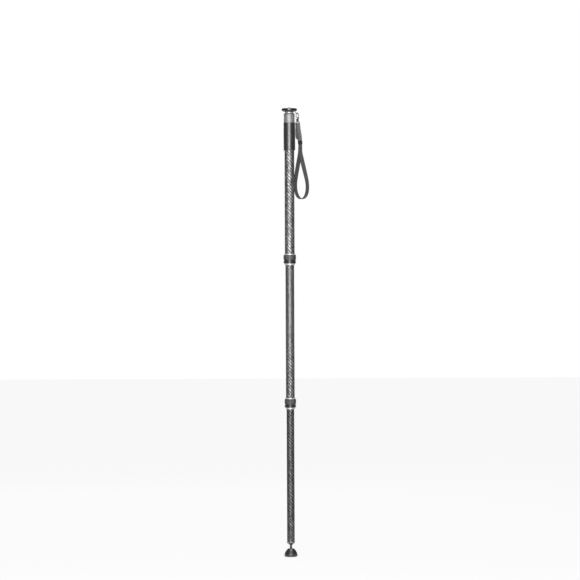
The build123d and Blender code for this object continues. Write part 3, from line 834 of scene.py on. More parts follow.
def grid_object(
    name: str,
    grid: np.ndarray,
    ends: Optional[np.ndarray] = None,
    normals: Optional[np.ndarray] = None,
    edge: Optional[np.ndarray] = None,
    uv: Optional[tuple[np.ndarray, np.ndarray]] = None,
) -> bpy.types.Object:
    """Makes a closed mesh from a grid of points, whose last row joins the first.

    Four neighbours in the grid make a face. The last column joins the first too, unless there are
    ends, which close these columns with fans. The mesh is turned outwards by its signed volume.

    Args:
        name: the object's name.
        grid: points, rows by columns by three.
        ends: two points, for the fans at the first and the last column.
        normals: a normal for each point, and then for each end.
        edge: a wear value for each column.
        uv: a value for each row and for each column.

    Returns:
        The object.
    """
    rows, columns = grid.shape[:2]
    number = rows * columns
    ids = np.arange(number).reshape(rows, columns)
    after = np.roll(ids, -1, axis=0)
    quads = np.stack((ids, after, np.roll(after, -1, axis=1), np.roll(ids, -1, axis=1)), axis=-1)
    points, fans = grid.reshape(-1, 3), np.zeros((0, 3), int)
    if ends is not None:
        quads = quads[:, :-1]
        points = np.vstack((points, ends))
        first = np.column_stack((np.full(rows, number), after[:, 0], ids[:, 0]))
        last = np.column_stack((np.full(rows, number + 1), ids[:, -1], after[:, -1]))
        fans = np.vstack((first, last))
    quads = quads.reshape(-1, 4)
    loose = np.vstack((quads[:, :3], quads[:, [0, 2, 3]], fans))
    a, b, c = (points[loose[:, k]] for k in range(3))
    if np.einsum("ij,ij->i", a, np.cross(b, c)).sum() < 0:
        quads, fans = quads[:, ::-1], fans[:, ::-1]
    mesh = bpy.data.meshes.new(name)
    mesh.from_pydata(points.tolist(), [], quads.tolist() + fans.tolist())
    mesh.polygons.foreach_set("use_smooth", np.ones(len(mesh.polygons), bool))
    if edge is not None:
        values = np.zeros(len(points), np.float32)
        values[:number] = np.tile(edge, rows)
        mesh.attributes.new("edge", "FLOAT", "POINT").data.foreach_set("value", values)
    if uv is not None:
        place = np.zeros((len(points), 2), np.float32)
        place[:number] = np.column_stack((np.repeat(uv[0], columns), np.tile(uv[1], rows)))
        layer = mesh.uv_layers.new(name="weave")
        layer.data.foreach_set("uv", place[read(mesh.loops, "vertex_index")].ravel())
    if normals is not None:
        mesh.normals_split_custom_set_from_vertices(normals.tolist())
    mesh.validate()
    return new_object(name, mesh)


def lathed(
    name: str,
    node: str,
    finish: Finish,
    outline: Outline,
    around: int = 128,
    ripple: Optional[Ripple] = None,
) -> None:
    """Turns an outline of radius and height about the Z axis, to stand for a CAD node.

    A point is the radius by the cosine and the sine of the angle, and the height. A ripple gives
    the radius from the angle, the plain radius and the height. The outline is turned round first
    if its shoelace area is negative, so that its inside is on the left.

    Args:
        name: the piece's name.
        node: the CAD node.
        finish: what the piece is made of.
        outline: closed, or open with both ends on the axis.
        around: points round the axis.
        ripple: changes the radius, such as ribs or a thread.
    """
    x, y = outline.points.T
    if np.sum(x * np.roll(y, -1) - np.roll(x, -1) * y) <= 0:
        flipped = (outline.points[::-1], -outline.ahead[::-1], outline.edge[::-1])
        outline = Outline(*flipped, outline.closed)
    angle = np.linspace(0.0, FULL_TURN, around, endpoint=False)[:, None]
    body = slice(None) if outline.closed else slice(1, -1)
    spots = outline.points[body]
    radius, height = (np.broadcast_to(part, (around, len(spots))) for part in spots.T)
    if ripple is not None:
        radius = ripple(angle, radius, height)

    def spun(out: np.ndarray, up: np.ndarray) -> np.ndarray:
        """Carries values out from the axis and up it round the axis."""
        up = np.broadcast_to(up, radius.shape)
        return np.stack((out * np.cos(angle), out * np.sin(angle), up), axis=-1)

    normals = spun(outline.ahead[body, 1], -outline.ahead[body, 0]).reshape(-1, 3)
    ends = None
    if not outline.closed:
        ends = np.array([(0.0, 0.0, outline.points[k, 1]) for k in (0, -1)])
        normals = np.vstack((normals, ((0.0, 0.0, -1.0), (0.0, 0.0, 1.0))))
    normals = None if ripple is not None else normals
    piece = grid_object(name, spun(radius, height), ends, normals, outline.edge[body])
    dress(piece, finish, node)


def merged_copy(node: str) -> bmesh.types.BMesh:
    """Copies a CAD node's loose triangles and joins their corners.

    Args:
        node: the CAD node.

    Returns:
        The copy.
    """
    work = bmesh.new()
    work.from_mesh(frame["nodes"][node].data)
    bmesh.ops.remove_doubles(work, verts=work.verts, dist=0.002 * MM)
    return work


def mesh_from(work: bmesh.types.BMesh, name: str) -> bpy.types.Mesh:
    """Makes a smooth-shaded mesh of the work, and frees the work.

    Args:
        work: the work.
        name: the mesh's name.

    Returns:
        The mesh.
    """
    mesh = bpy.data.meshes.new(name)
    work.to_mesh(mesh)
    work.free()
    mesh.polygons.foreach_set("use_smooth", np.ones(len(mesh.polygons), bool))
    return mesh


def turned_normals(mesh: bpy.types.Mesh) -> None:
    """Shades the faces that lie round the Z axis as the turned surface they stand for.

    A face whose normal has no part round the axis keeps its slope, and each of its corners gets
    that slope in the corner's own direction from the axis. The other faces stay flat.

    Args:
        mesh: the mesh.
    """

    def outwards(points: np.ndarray) -> np.ndarray:
        """Returns each point's direction from the axis."""
        flat = points[:, :2]
        return flat / np.maximum(np.linalg.norm(flat, axis=1, keepdims=True), 1e-9)

    slope = read(mesh.polygons, "normal", 3)
    face = np.repeat(np.arange(len(slope)), read(mesh.polygons, "loop_total"))
    way = outwards(read(mesh.polygons, "center", 3))
    place = outwards(read(mesh.vertices, "co", 3))[read(mesh.loops, "vertex_index")]
    outward = (slope[:, :2] * way).sum(1)
    around = np.abs(slope[:, 1] * way[:, 0] - slope[:, 0] * way[:, 1])
    normals = slope[face].copy()
    turned = around[face] < 0.06
    normals[turned, :2] = place[turned] * outward[face][turned, None]
    mesh.normals_split_custom_set(normals.tolist())


def softened(node: str, width: float, finish: Finish, turned: bool = False) -> bpy.types.Object:
    """Copies a CAD node and rounds its sharp edges.

    Args:
        node: the CAD node.
        width: the rounding's width.
        finish: what the copy is made of.
        turned: whether the node is turned about the Z axis, and is shaded so.

    Returns:
        The copy.
    """
    work = merged_copy(node)
    bmesh.ops.dissolve_limit(work, angle_limit=FLAT_TURN, verts=work.verts, edges=work.edges)
    sharp = [e for e in work.edges if e.is_manifold and e.calc_face_angle(0.0) > SHARP_TURN]
    if width > 0 and sharp:
        shape = dict(offset_type="OFFSET", segments=3, profile=0.5, clamp_overlap=True)
        bmesh.ops.bevel(work, geom=sharp, offset=width, affect="EDGES", **shape)
    bmesh.ops.recalc_face_normals(work, faces=work.faces)
    thing = new_object(f"{node}_dressed", mesh_from(work, f"{node}_dressed"))
    if turned:
        turned_normals(thing.data)
    else:
        thing.data.set_sharp_from_angle(angle=math.radians(40.0))
        thing.modifiers.new("weighted", "WEIGHTED_NORMAL").keep_sharp = True
    return dress(thing, finish, node)


def cast_copy(node: str, grain: float, passes: int, finish: Finish) -> bpy.types.Object:
    """Copies a CAD node with every corner rounded, as a die leaves it.

    The copy is remeshed on a fine grid, and each point then moves towards the mean of its
    neighbours a number of times.

    Args:
        node: the CAD node.
        grain: the grid's spacing.
        passes: how many times the points move.
        finish: what the copy is made of.

    Returns:
        The copy.
    """
    rough = mesh_from(merged_copy(node), "rough")
    carrier = new_object("rough", rough)
    skin = carrier.modifiers.new("skin", "REMESH")
    skin.mode, skin.voxel_size, skin.use_smooth_shade = "VOXEL", grain, True
    rounding = carrier.modifiers.new("rounding", "SMOOTH")
    rounding.factor, rounding.iterations = 0.5, passes
    ready = carrier.evaluated_get(bpy.context.evaluated_depsgraph_get())
    mesh = bpy.data.meshes.new_from_object(ready)
    mesh.name = f"{node}_cast"
    bpy.data.objects.remove(carrier)
    bpy.data.meshes.remove(rough)
    return dress(new_object(f"{node}_cast", mesh), finish, node)


def beads(
    name: str, centres: np.ndarray, frames: np.ndarray, sizes: Sequence[float]
) -> bpy.types.Object:
    """Makes many small ellipsoids, such as stitches, in one mesh.

    A point is the centre, plus the first direction by the cosine of the polar angle, plus the
    second and third by its sine and by the cosine and sine of the turn, each by its half size.

    Args:
        name: the object's name.
        centres: a point for each.
        frames: three directions for each.
        sizes: the half sizes along them.

    Returns:
        The object.
    """
    rings, spokes = 3, 8
    polar = np.linspace(0.0, math.pi, rings + 2)[1:-1, None]
    turn = np.linspace(0.0, FULL_TURN, spokes, endpoint=False)[None, :]
    length = np.broadcast_to(np.cos(polar), (rings, spokes))
    local = (length, np.sin(polar) * np.cos(turn), np.sin(polar) * np.sin(turn))
    local = np.stack(local, axis=-1).reshape(-1, 3)
    local = np.vstack((local, ((1.0, 0.0, 0.0), (-1.0, 0.0, 0.0)))) * np.array(sizes)
    points = centres[:, None] + np.einsum("pk,nkc->npc", local, frames)
    ids = np.arange(rings * spokes).reshape(rings, spokes)
    after = np.roll(ids, -1, axis=1)
    quads = np.stack((ids[:-1], after[:-1], after[1:], ids[1:]), axis=-1).reshape(-1, 4)
    poles = rings * spokes + np.arange(2)[:, None] * np.ones(spokes, int)
    first = np.column_stack((poles[0], after[0], ids[0]))
    last = np.column_stack((poles[1], ids[-1], after[-1]))
    caps = np.vstack((first, last))
    shift = (np.arange(len(centres)) * len(local))[:, None, None]
    faces = (quads + shift).reshape(-1, 4).tolist() + (caps + shift).reshape(-1, 3).tolist()
    plain = bpy.data.meshes.new("plain")
    plain.from_pydata(points.reshape(-1, 3).tolist(), [], faces)
    work = bmesh.new()
    work.from_mesh(plain)
    bpy.data.meshes.remove(plain)
    bmesh.ops.recalc_face_normals(work, faces=work.faces)
    return new_object(name, mesh_from(work, name))


# Sub-assemblies


@dataclass
class Tube:
    """One woven tube, whose shade is painted shade: the lower tubes are painted darker."""

    node: str
    radius: float
    around: int
    # Painted shade: scales the light tows, smaller on the lower tubes.
    shade: float
    lip: float = 0.25 * MM

    def build(self) -> None:
        """Turns the tube's wall and dresses it."""
        corners = ring(self.radius - WALL, self.radius, *heights(self.node), [self.lip] * 4)
        finish = WovenCarbon(f"carbon_{self.node}", self.around, self.shade)
        lathed(f"{self.node}_cloth", self.node, finish, rounded(corners).refined(60 * MM))


@dataclass
class TwistLock:
    """One twist lock: bright sleeve flange, ribbed rubber, dark ring and bright lower ring."""

    prefix: str
    outer_r: float
    inner_r: float
    ribs: int
    rim_over: float = 4.8 * MM
    groove_over: float = 3.0 * MM
    rubber_over: float = 5.0 * MM
    flange_over: float = 2.6 * MM
    sleeve_over: float = 1.5 * MM
    trim_over: float = 1.0 * MM
    rim_height: float = 10.0 * MM
    rim_chamfer: float = 2.4 * MM
    flange_height: float = 3.8 * MM
    flange_groove: float = 0.35 * MM
    rib_depth: float = 0.5 * MM
    rib_land: float = 5.0
    rib_fade: float = 1.1 * MM
    ring_floor: float = 5.5 * MM
    ring_play: float = 0.3 * MM
    mouth_over: float = 1.9 * MM
    mouth_lip: float = 1.3 * MM
    trim_play: float = 0.6 * MM
    wiper_over: float = 2.0 * MM
    wiper_floor: float = 1.4 * MM
    wiper_height: float = 2.4 * MM

    def build(self) -> None:
        """Builds the four turned pieces and paints the two hidden ones."""
        lock = f"{self.prefix}_lock"
        self._flange(f"{lock}_sleeve")
        self._rubber(f"{lock}_rubber")
        self._ring(f"{lock}_ring")
        self._trim(f"{lock}_trim")
        repaint(WHITE_NYLON, f"{lock}_collet")
        repaint(FELT, f"{lock}_wiper")

    def _flange(self, node: str) -> None:
        """Builds the sleeve, a thin tube with a flange whose edge has a turned groove.

        Args:
            node: the CAD node.
        """
        low, high = heights(node)
        foot, brim = self.outer_r + self.sleeve_over, self.outer_r + self.flange_over
        step = high - self.flange_height
        middle = (high + step) / 2
        corners = [
            (foot, low, 0.3 * MM),
            (foot, step, 0.2 * MM),
            (brim, step, 0.35 * MM),
            (brim, middle - self.flange_groove, CRISP),
            (brim - self.flange_groove, middle, 0.15 * MM),
            (brim, middle + self.flange_groove, CRISP),
            (brim, high, 0.6 * MM),
            (self.outer_r, high, CRISP),
            (self.outer_r, low, CRISP),
        ]
        lathed(f"{node}_turned", node, BRIGHT, rounded(corners))

    def _rubber(self, node: str) -> None:
        """Builds the rubber: ribs are a softened cosine wave that fades towards both ends.

        Args:
            node: the CAD node.
        """
        low, high = heights(node)
        face, inner = self.outer_r + self.rubber_over, self.outer_r + self.groove_over

        def ribs(angle: np.ndarray, radius: np.ndarray, height: np.ndarray) -> np.ndarray:
            """Lowers the face between the ribs.

            Args:
                angle: each point's angle.
                radius: its plain radius.
                height: its height.

            Returns:
                Its new radius.
            """
            wave = (0.5 - 0.5 * np.cos(self.ribs * angle)) ** self.rib_land
            fade = np.clip(np.minimum(height - low, high - height) / self.rib_fade - 0.4, 0.0, 1.0)
            outside = np.clip((radius - inner) / (face - inner) * 2 - 1, 0.0, 1.0)
            return radius - self.rib_depth * wave * fade * outside

        outline = rounded(ring(inner, face, low, high, (0.9 * MM, 0.9 * MM, CRISP, CRISP)))
        outline = outline.refined(0.9 * MM)
        lathed(f"{node}_ribbed", node, LOCK_RUBBER, outline, self.ribs * 12, ribs)

    def _ring(self, node: str) -> None:
        """Builds the dark ring: a rim with a chamfered foot, and the groove over it.

        Args:
            node: the CAD node.
        """
        low, high = heights(node)
        rim, core = self.outer_r + self.rim_over, self.outer_r + self.groove_over
        bore = self.outer_r + self.sleeve_over + self.ring_play
        mouth = self.inner_r + self.mouth_over
        top, floor = low + self.rim_height, low + self.ring_floor
        corners = [
            (mouth, low, CRISP),
            (rim - self.rim_chamfer, low, 1.2 * MM),
            (rim, low + self.rim_chamfer, 1.2 * MM),
            (rim, top, 0.8 * MM),
            (core, top, 0.3 * MM),
            (core, high, CRISP),
            (bore, high, CRISP),
            (bore, floor, CRISP),
            (mouth + self.mouth_lip, floor, CRISP),
        ]
        lathed(f"{node}_turned", node, SATIN_BLACK, rounded(corners, steps=7))

    def _trim(self, node: str) -> None:
        """Builds the bright ring under the rim, with the wiper's groove in its bore.

        Args:
            node: the CAD node.
        """
        low, high = heights(node)
        edge, mouth = self.outer_r + self.trim_over, self.inner_r + self.trim_play
        pocket = self.inner_r + self.wiper_over
        floor = low + self.wiper_floor
        roof = floor + self.wiper_height
        corners = [
            (mouth, low, 0.3 * MM),
            (edge, low, 0.8 * MM),
            (edge, high, 0.2 * MM),
            (mouth, high, CRISP),
            (mouth, roof, CRISP),
            (pocket, roof, CRISP),
            (pocket, floor, CRISP),
            (mouth, floor, CRISP),
        ]
        lathed(f"{node}_turned", node, BRIGHT, rounded(corners))


@dataclass
class Head:
    """Everything on the upper tube over its lock: grip, collar, neck ring, plate and screw."""

    grip_r: float = 21.8 * MM
    collar_foot_r: float = 20.4 * MM
    collar_waist_r: float = 19.7 * MM
    collar_shoulder_r: float = 20.2 * MM
    collar_top_r: float = 16.6 * MM
    waist_round: float = 60 * MM
    shoulder_drop: float = 6.4 * MM
    slope_drop: float = 3.0 * MM
    slope_in: float = 0.2 * MM
    collar_depth: float = 12 * MM
    bore_r: float = 6.0 * MM
    neck_r: float = 15.6 * MM
    pad_inner_r: float = 16.4 * MM
    pad_outer_r: float = 26.6 * MM
    pad_ridges: int = 8
    pad_ridge_depth: float = 0.2 * MM
    stud_r: float = 3.175 * MM
    stud_pitch: float = 1.27 * MM
    stud_depth: float = 0.55 * MM
    stud_base_r: float = 4.7625 * MM
    stud_tip: float = 0.6 * MM

    def build(self) -> None:
        """Builds and dresses the pieces."""
        self._grip()
        self._collar()
        self._neck()
        self._plate_pad()
        self._stud()
        softened("camera_plate", 0.4 * MM, PLATE_BLACK, turned=True)
        softened("plate_screws", 0.0, BLACK_OXIDE)
        softened("strap_bail", 0.0, DARK_STEEL)
        repaint(BLACK_NYLON, "tube_plug")
        repaint(LOCK_RUBBER, "section_bumper")

    def _grip(self) -> None:
        """Builds the grip's sleeve with rolled ends."""
        radii = (1.7 * MM, 0.9 * MM, CRISP, CRISP)
        corners = ring(UPPER_R, self.grip_r, *heights("grip"), radii)
        lathed("grip_sleeve", "grip", GRIP_RUBBER, rounded(corners, steps=9).refined(12 * MM))

    def _collar(self) -> None:
        """Builds the collar: a waist that is an arc of a circle, and a round shoulder."""
        low, high = heights("upper_collar")
        shoulder = high - self.shoulder_drop
        corners = [
            (UPPER_R, low, CRISP),
            (self.collar_foot_r, low, 0.5 * MM),
            (self.collar_waist_r, (low + shoulder) / 2, self.waist_round),
            (self.collar_shoulder_r, shoulder, 1.5 * MM),
            (self.collar_shoulder_r - self.slope_in, high - self.slope_drop, 1.2 * MM),
            (self.collar_top_r, high, 1.0 * MM),
            (self.bore_r, high, CRISP),
            (self.bore_r, high - self.collar_depth, CRISP),
            (UPPER_R, high - self.collar_depth, CRISP),
        ]
        lathed("collar_shell", "upper_collar", COLLAR_GREY, rounded(corners, steps=11))

    def _neck(self) -> None:
        """Builds the bright ring on the collar."""
        radii = (0.4 * MM, 0.4 * MM, CRISP, CRISP)
        corners = ring(self.bore_r, self.neck_r, *heights("neck_ring"), radii)
        lathed("neck_ring_turned", "neck_ring", BRIGHT, rounded(corners))

    def _plate_pad(self) -> None:
        """Builds the rubber ring: its top carries concentric ridges, a cosine of the radius."""
        low, high = heights("plate_pad")
        radius = np.linspace(self.pad_outer_r, self.pad_inner_r, 12 * self.pad_ridges)
        share = (self.pad_outer_r - radius) / (self.pad_outer_r - self.pad_inner_r)
        wave = 0.5 + 0.5 * np.cos(FULL_TURN * self.pad_ridges * share)
        height = high - self.pad_ridge_depth * wave
        top = np.column_stack((radius, height, np.zeros_like(radius)))
        corners = [(self.pad_inner_r, low, 0.0), (self.pad_outer_r, low, 0.0), *top.tolist()]
        lathed("plate_pad_ridged", "plate_pad", PLATE_RUBBER, rounded(corners, steps=2))

    def _stud(self) -> None:
        """Builds the camera screw, whose thread stands over the plate."""
        low, high = heights("camera_stud")
        plate_top = heights("camera_plate")[1]
        tip = self.stud_tip
        corners = [
            (0.0, low, 0.0),
            (self.stud_base_r - tip, low, CRISP),
            (self.stud_base_r, low + tip, CRISP),
            (self.stud_base_r, plate_top, 0.2 * MM),
            (self.stud_r, plate_top, CRISP),
            (self.stud_r, high - tip, CRISP),
            (self.stud_r - tip, high, CRISP),
            (0.0, high, 0.0),
        ]
        outline = rounded(corners, closed=False).refined(0.12 * MM)
        cut = thread(self.stud_r, self.stud_pitch, self.stud_depth, plate_top, 0.3 * MM)
        lathed("camera_stud_threaded", "camera_stud", STEEL, outline, 96, cut)


@dataclass
class Foot:
    """Ferrule, ball stud and rubber foot.

    The shell is the rubber foot's outside: radius, height and rounding in millimetres.
    """

    flange_over: float = 0.75 * MM
    flange_height: float = 6.2 * MM
    seat_height: float = 6.7 * MM
    cone_r: float = 6.4 * MM
    stem_r: float = 4.7625 * MM
    stem_pitch: float = 1.5875 * MM
    stem_depth: float = 0.6 * MM
    neck_r: float = 3.2 * MM
    neck_rise: float = 1.6 * MM
    ball_r: float = 6.8 * MM
    ball_height: float = 16.0 * MM
    pocket_r: float = 10.3 * MM
    mouth_r: float = 9.0 * MM
    mouth_rise: float = 5.0 * MM
    lip_r: float = 12.6 * MM
    treads: tuple[float, ...] = (9.0 * MM, 14.5 * MM)
    tread_width: float = 1.5 * MM
    tread_depth: float = 1.0 * MM
    shell: tuple[Corner, ...] = (
        (21.6, 0.0, 1.5),
        (24.4, 3.0, 1.5),
        (24.4, 8.0, 0.9),
        (23.5, 8.8, 0.5),
        (23.2, 12.0, 3.0),
        (20.8, 17.2, 3.0),
        (16.9, 24.0, 3.0),
        (14.2, 26.9, 0.5),
        (13.1, 27.0, 0.4),
    )

    def build(self) -> None:
        """Builds and dresses the pieces."""
        self._ferrule()
        self._stud()
        self._pad()
        repaint(BLACK_NYLON, "ball_liner", "foot_socket")

    def _ferrule(self) -> None:
        """Builds the ferrule, with its flange and the cone below it."""
        low, high = heights("foot_ferrule")
        flange = low + self.flange_height
        seat = flange + self.seat_height
        brim, plug = LOWER_R + self.flange_over, LOWER_R - WALL
        corners = [
            (self.stem_r, low, CRISP),
            (self.cone_r, low, 0.8 * MM),
            (LOWER_R, flange, 0.6 * MM),
            (brim, flange + 0.6 * MM, 0.4 * MM),
            (brim, seat - 0.5 * MM, 0.4 * MM),
            (LOWER_R, seat, CRISP),
            (plug, seat, CRISP),
            (plug, high, CRISP),
            (self.stem_r, high, CRISP),
        ]
        lathed("foot_ferrule_turned", "foot_ferrule", DARK_BRIGHT, rounded(corners))

    def _stud(self) -> None:
        """Builds the ball stud: ball, neck and threaded stem."""
        high = heights("ball_stud")[1]
        neck = heights("foot_pad")[1] + self.neck_rise
        top = neck + self.stem_r - self.neck_r
        turn = np.linspace(0.0, math.pi - math.asin(self.neck_r / self.ball_r), 28)
        corners = [
            *arc(self.ball_r, self.ball_height, turn, -1.0),
            (self.neck_r, neck, 0.4 * MM),
            (self.stem_r, top, 0.3 * MM),
            (self.stem_r, high, 0.5 * MM),
            (0.0, high, 0.0),
        ]
        outline = rounded(corners, closed=False, steps=3).refined(0.2 * MM)
        cut = thread(self.stem_r, self.stem_pitch, self.stem_depth, top, 1.0 * MM)
        lathed("ball_stud_threaded", "ball_stud", DARK_STEEL, outline, 96, cut)

    def _pad(self) -> None:
        """Builds the rubber foot: dome, two moulded steps, mouth, ball pocket and tread."""
        high = heights("foot_pad")[1]
        turn = np.linspace(math.asin(self.mouth_r / self.pocket_r), math.pi, 20)
        pocket = arc(self.pocket_r, self.ball_height, turn, 1.0)
        pocket[-1][0] = 0.0
        corners = [(0.0, 0.0, 0.0)]
        for inner in self.treads:
            outer = inner + self.tread_width
            corners += [
                (inner, 0.0, 0.2 * MM),
                (inner, self.tread_depth, 0.3 * MM),
                (outer, self.tread_depth, 0.3 * MM),
                (outer, 0.0, 0.2 * MM),
            ]
        corners += (np.array(self.shell) * MM).tolist()
        corners += [
            (self.lip_r, high, 0.8 * MM),
            (self.pocket_r, high, 0.6 * MM),
            (self.mouth_r, self.ball_height + self.mouth_rise, 0.2 * MM),
            *pocket,
        ]
        lathed("foot_pad_moulded", "foot_pad", FOOT_RUBBER, rounded(corners, closed=False))


@dataclass
class Strap:
    """Snap hook, swivel eye and the webbing, in the upright plane turned from the view.

    The routes are control points in that plane: out from the bail and up from it, in metres.
    """

    bar: tuple[float, float, float] = (29.5 * MM, 0.0, 1628.6 * MM)
    hang_tilt: float = math.radians(2.86)
    strap_turn: float = math.radians(-50.0)
    width: float = 16.0 * MM
    loop_thick: float = 2.0 * MM
    link_thick: float = 1.8 * MM
    loop_length: float = 461.0 * MM
    link_length: float = 152.0 * MM
    step: float = 1.5 * MM
    bar_levels: tuple[float, float] = (-118.0 * MM, -134.0 * MM)
    bar_stitches: int = 15
    bar_inset: float = 1.6 * MM
    bar_lean: float = math.radians(24.0)
    stitch_half: float = 1.5 * MM
    thread_r: float = 0.32 * MM
    twist: float = math.radians(-20.0)
    link_route: tuple[tuple[float, float], ...] = (
        *((0.0069, -0.1045), (0.0068, -0.0965), (-0.0062, -0.0895), (-0.0069, -0.0790)),
        *((-0.0056, -0.0600), (-0.0035, -0.0460), (-0.0033, -0.0338), (0.0033, -0.0338)),
        *((0.0035, -0.0460), (0.0056, -0.0600), (0.0084, -0.0740), (0.0102, -0.0860)),
        *((0.0093, -0.0965), (0.0092, -0.1045)),
    )
    loop_route: tuple[tuple[float, float], ...] = (
        *((0.0069, -0.1050), (0.0069, -0.1135), (0.0057, -0.1270), (0.0039, -0.1420)),
        *((-0.0026, -0.1630), (-0.0134, -0.1930), (-0.0246, -0.2250), (-0.0332, -0.2570)),
        *((-0.0312, -0.2870), (-0.0180, -0.3080), (0.0015, -0.3145), (0.0210, -0.3075)),
        *((0.0344, -0.2870), (0.0366, -0.2570), (0.0286, -0.2250), (0.0194, -0.1930)),
        *((0.0116, -0.1630), (0.0065, -0.1420), (0.0081, -0.1270), (0.0092, -0.1135)),
        (0.0092, -0.1050),
    )

    def __post_init__(self) -> None:
        """Works out the hanging line, the strap's plane and the direction of its width."""
        out = Vector((math.cos(self.hang_tilt), 0.0, math.sin(self.hang_tilt)))
        up = Vector((-math.sin(self.hang_tilt), 0.0, math.cos(self.hang_tilt)))
        side = Vector((0.0, 1.0, 0.0))
        cosine, sine = math.cos(self.strap_turn), math.sin(self.strap_turn)
        self.top, self.up = np.array(Vector(self.bar)), np.array(up)
        self.across = np.array(out * cosine + side * sine)
        self.along_width = np.array(side * cosine - out * sine)

    def build(self) -> None:
        """Builds the metal pieces, then the webbing and its sewing."""
        cast_copy("hook_body", 0.2 * MM, 10, GUNMETAL)
        cast_copy("hook_gate", 0.15 * MM, 5, GUNMETAL)
        eye = cast_copy("swivel_eye", 0.2 * MM, 8, GUNMETAL)
        keeper = softened("strap_keeper", 0.25 * MM, BLACK_NYLON)
        repaint(STEEL, "gate_pin")
        repaint(SPRING, "gate_spring")
        link = self._band("strap_link_web", self.link_route, self.link_thick, 0.0)[0]
        dress(link, LINK_WEB, "strap_link")
        loop, line, frames = self._band(
            "wrist_loop_web", self.loop_route, self.loop_thick, self.twist
        )
        dress(loop, LOOP_WEB, "wrist_loop")
        sewing = self._sewing(line, frames)

    def _centreline(self, route: Corners) -> np.ndarray:
        """Reads evenly spaced points from a NURBS spline with the route as its control points.

        Args:
            route: the control points, in the strap's plane.

        Returns:
            The points, in the row frame.
        """
        flat = np.array(route)
        spots = self.top + flat[:, :1] * self.across + flat[:, 1:] * self.up
        curve = bpy.data.curves.new("route", "CURVE")
        curve.dimensions = "3D"
        curve.resolution_u = 24
        spline = curve.splines.new("NURBS")
        spline.points.add(len(spots) - 1)
        spline.points.foreach_set("co", np.column_stack((spots, np.ones(len(spots)))).ravel())
        spline.order_u = 3
        spline.use_endpoint_u = True
        carrier = bpy.data.objects.new("route", curve)
        line = bpy.data.meshes.new_from_object(carrier)
        found = read(line.vertices, "co", 3)
        bpy.data.objects.remove(carrier)
        bpy.data.curves.remove(curve)
        bpy.data.meshes.remove(line)
        marks = lengths(found)
        wanted = np.linspace(0.0, marks[-1], int(marks[-1] / self.step) + 2)
        return read_at(wanted, marks, found)

    def _band(
        self, name: str, route: Corners, thick: float, twist: float
    ) -> tuple[bpy.types.Object, np.ndarray, np.ndarray]:
        """Carries the webbing's rounded section along its centreline.

        The width's direction is the strap plane's normal, turned about the line by the twist, which
        is a squared sine along each strand: none at the keeper and at the bottom of the loop.

        Args:
            name: the piece's name.
            route: the control points, in the strap's plane.
            thick: the webbing's thickness.
            twist: the largest turn of the width about the line.

        Returns:
            The piece, the points that it follows, and three directions at each: along, across the
            width and through the thickness.
        """
        line = self._centreline(route)
        ahead = np.gradient(line, axis=0)
        ahead /= np.linalg.norm(ahead, axis=1, keepdims=True)
        share = np.linspace(0.0, 1.0, len(line))[:, None]
        strand = np.abs(2 * share - 1)
        turn = twist * np.sin(math.pi * np.clip((strand - 0.25) / 0.75, 0.0, 1.0)) ** 2
        turn = turn * np.sign(share - 0.5)
        flat = self.along_width[None, :]
        width_way = np.cos(turn) * flat + np.sin(turn) * np.cross(ahead, flat)
        thick_way = np.cross(ahead, width_way)
        half, thin = self.width / 2, thick / 2
        corners = [(-half, -thin), (half, -thin), (half, thin), (-half, thin)]
        section = rounded([(x, y, 0.8 * thin) for x, y in corners]).refined(1.6 * MM).points
        across, through = section[:, None, :1], section[:, None, 1:]
        grid = line[None] + across * width_way[None] + through * thick_way[None]
        measures = (section[:, 0] + half, lengths(line))
        piece = grid_object(name, grid, ends=line[[0, -1]], uv=measures)
        piece.data.set_sharp_from_angle(angle=math.radians(50.0))
        return piece, line, np.stack((ahead, width_way, thick_way), axis=1)

    def _sewing(self, line: np.ndarray, frames: np.ndarray) -> bpy.types.Object:
        """Sews the loop's two strands together under the keeper with two bars of zigzag stitches.

        Args:
            line: the points that the loop follows.
            frames: the directions along, across and through it at each point.

        Returns:
            The stitches.
        """
        across = np.linspace(-1.0, 1.0, self.bar_stitches) * (self.width / 2 - self.bar_inset)
        lean = np.where(np.arange(self.bar_stitches) % 2 == 0, 1.0, -1.0) * self.bar_lean
        cosine, sine = np.cos(lean)[:, None], np.sin(lean)[:, None]
        drop = (line - self.top) @ self.up
        rise = self.loop_thick / 2 + 0.3 * self.thread_r
        middle = len(line) // 2
        centres, turned = [], []
        for level in self.bar_levels:
            for start, end, side in ((0, middle, -1.0), (middle, len(line), 1.0)):
                spot = start + int(np.argmin(np.abs(drop[start:end] - level)))
                ahead, width_way, out = frames[spot]
                out = out * np.sign(side * (out @ self.across))
                centres.append(line[spot] + across[:, None] * width_way + rise * out)
                along = cosine * ahead + sine * width_way
                level_way = cosine * width_way - sine * ahead
                through = np.broadcast_to(out, along.shape)
                turned.append(np.stack((along, level_way, through), axis=1))
        sizes = (self.stitch_half, self.thread_r, self.thread_r)
        sewing = beads("wrist_loop_sewing", np.vstack(centres), np.vstack(turned), sizes)
        return dress(sewing, THREAD, "wrist_loop", stands=False)


# Camera, lights and floor


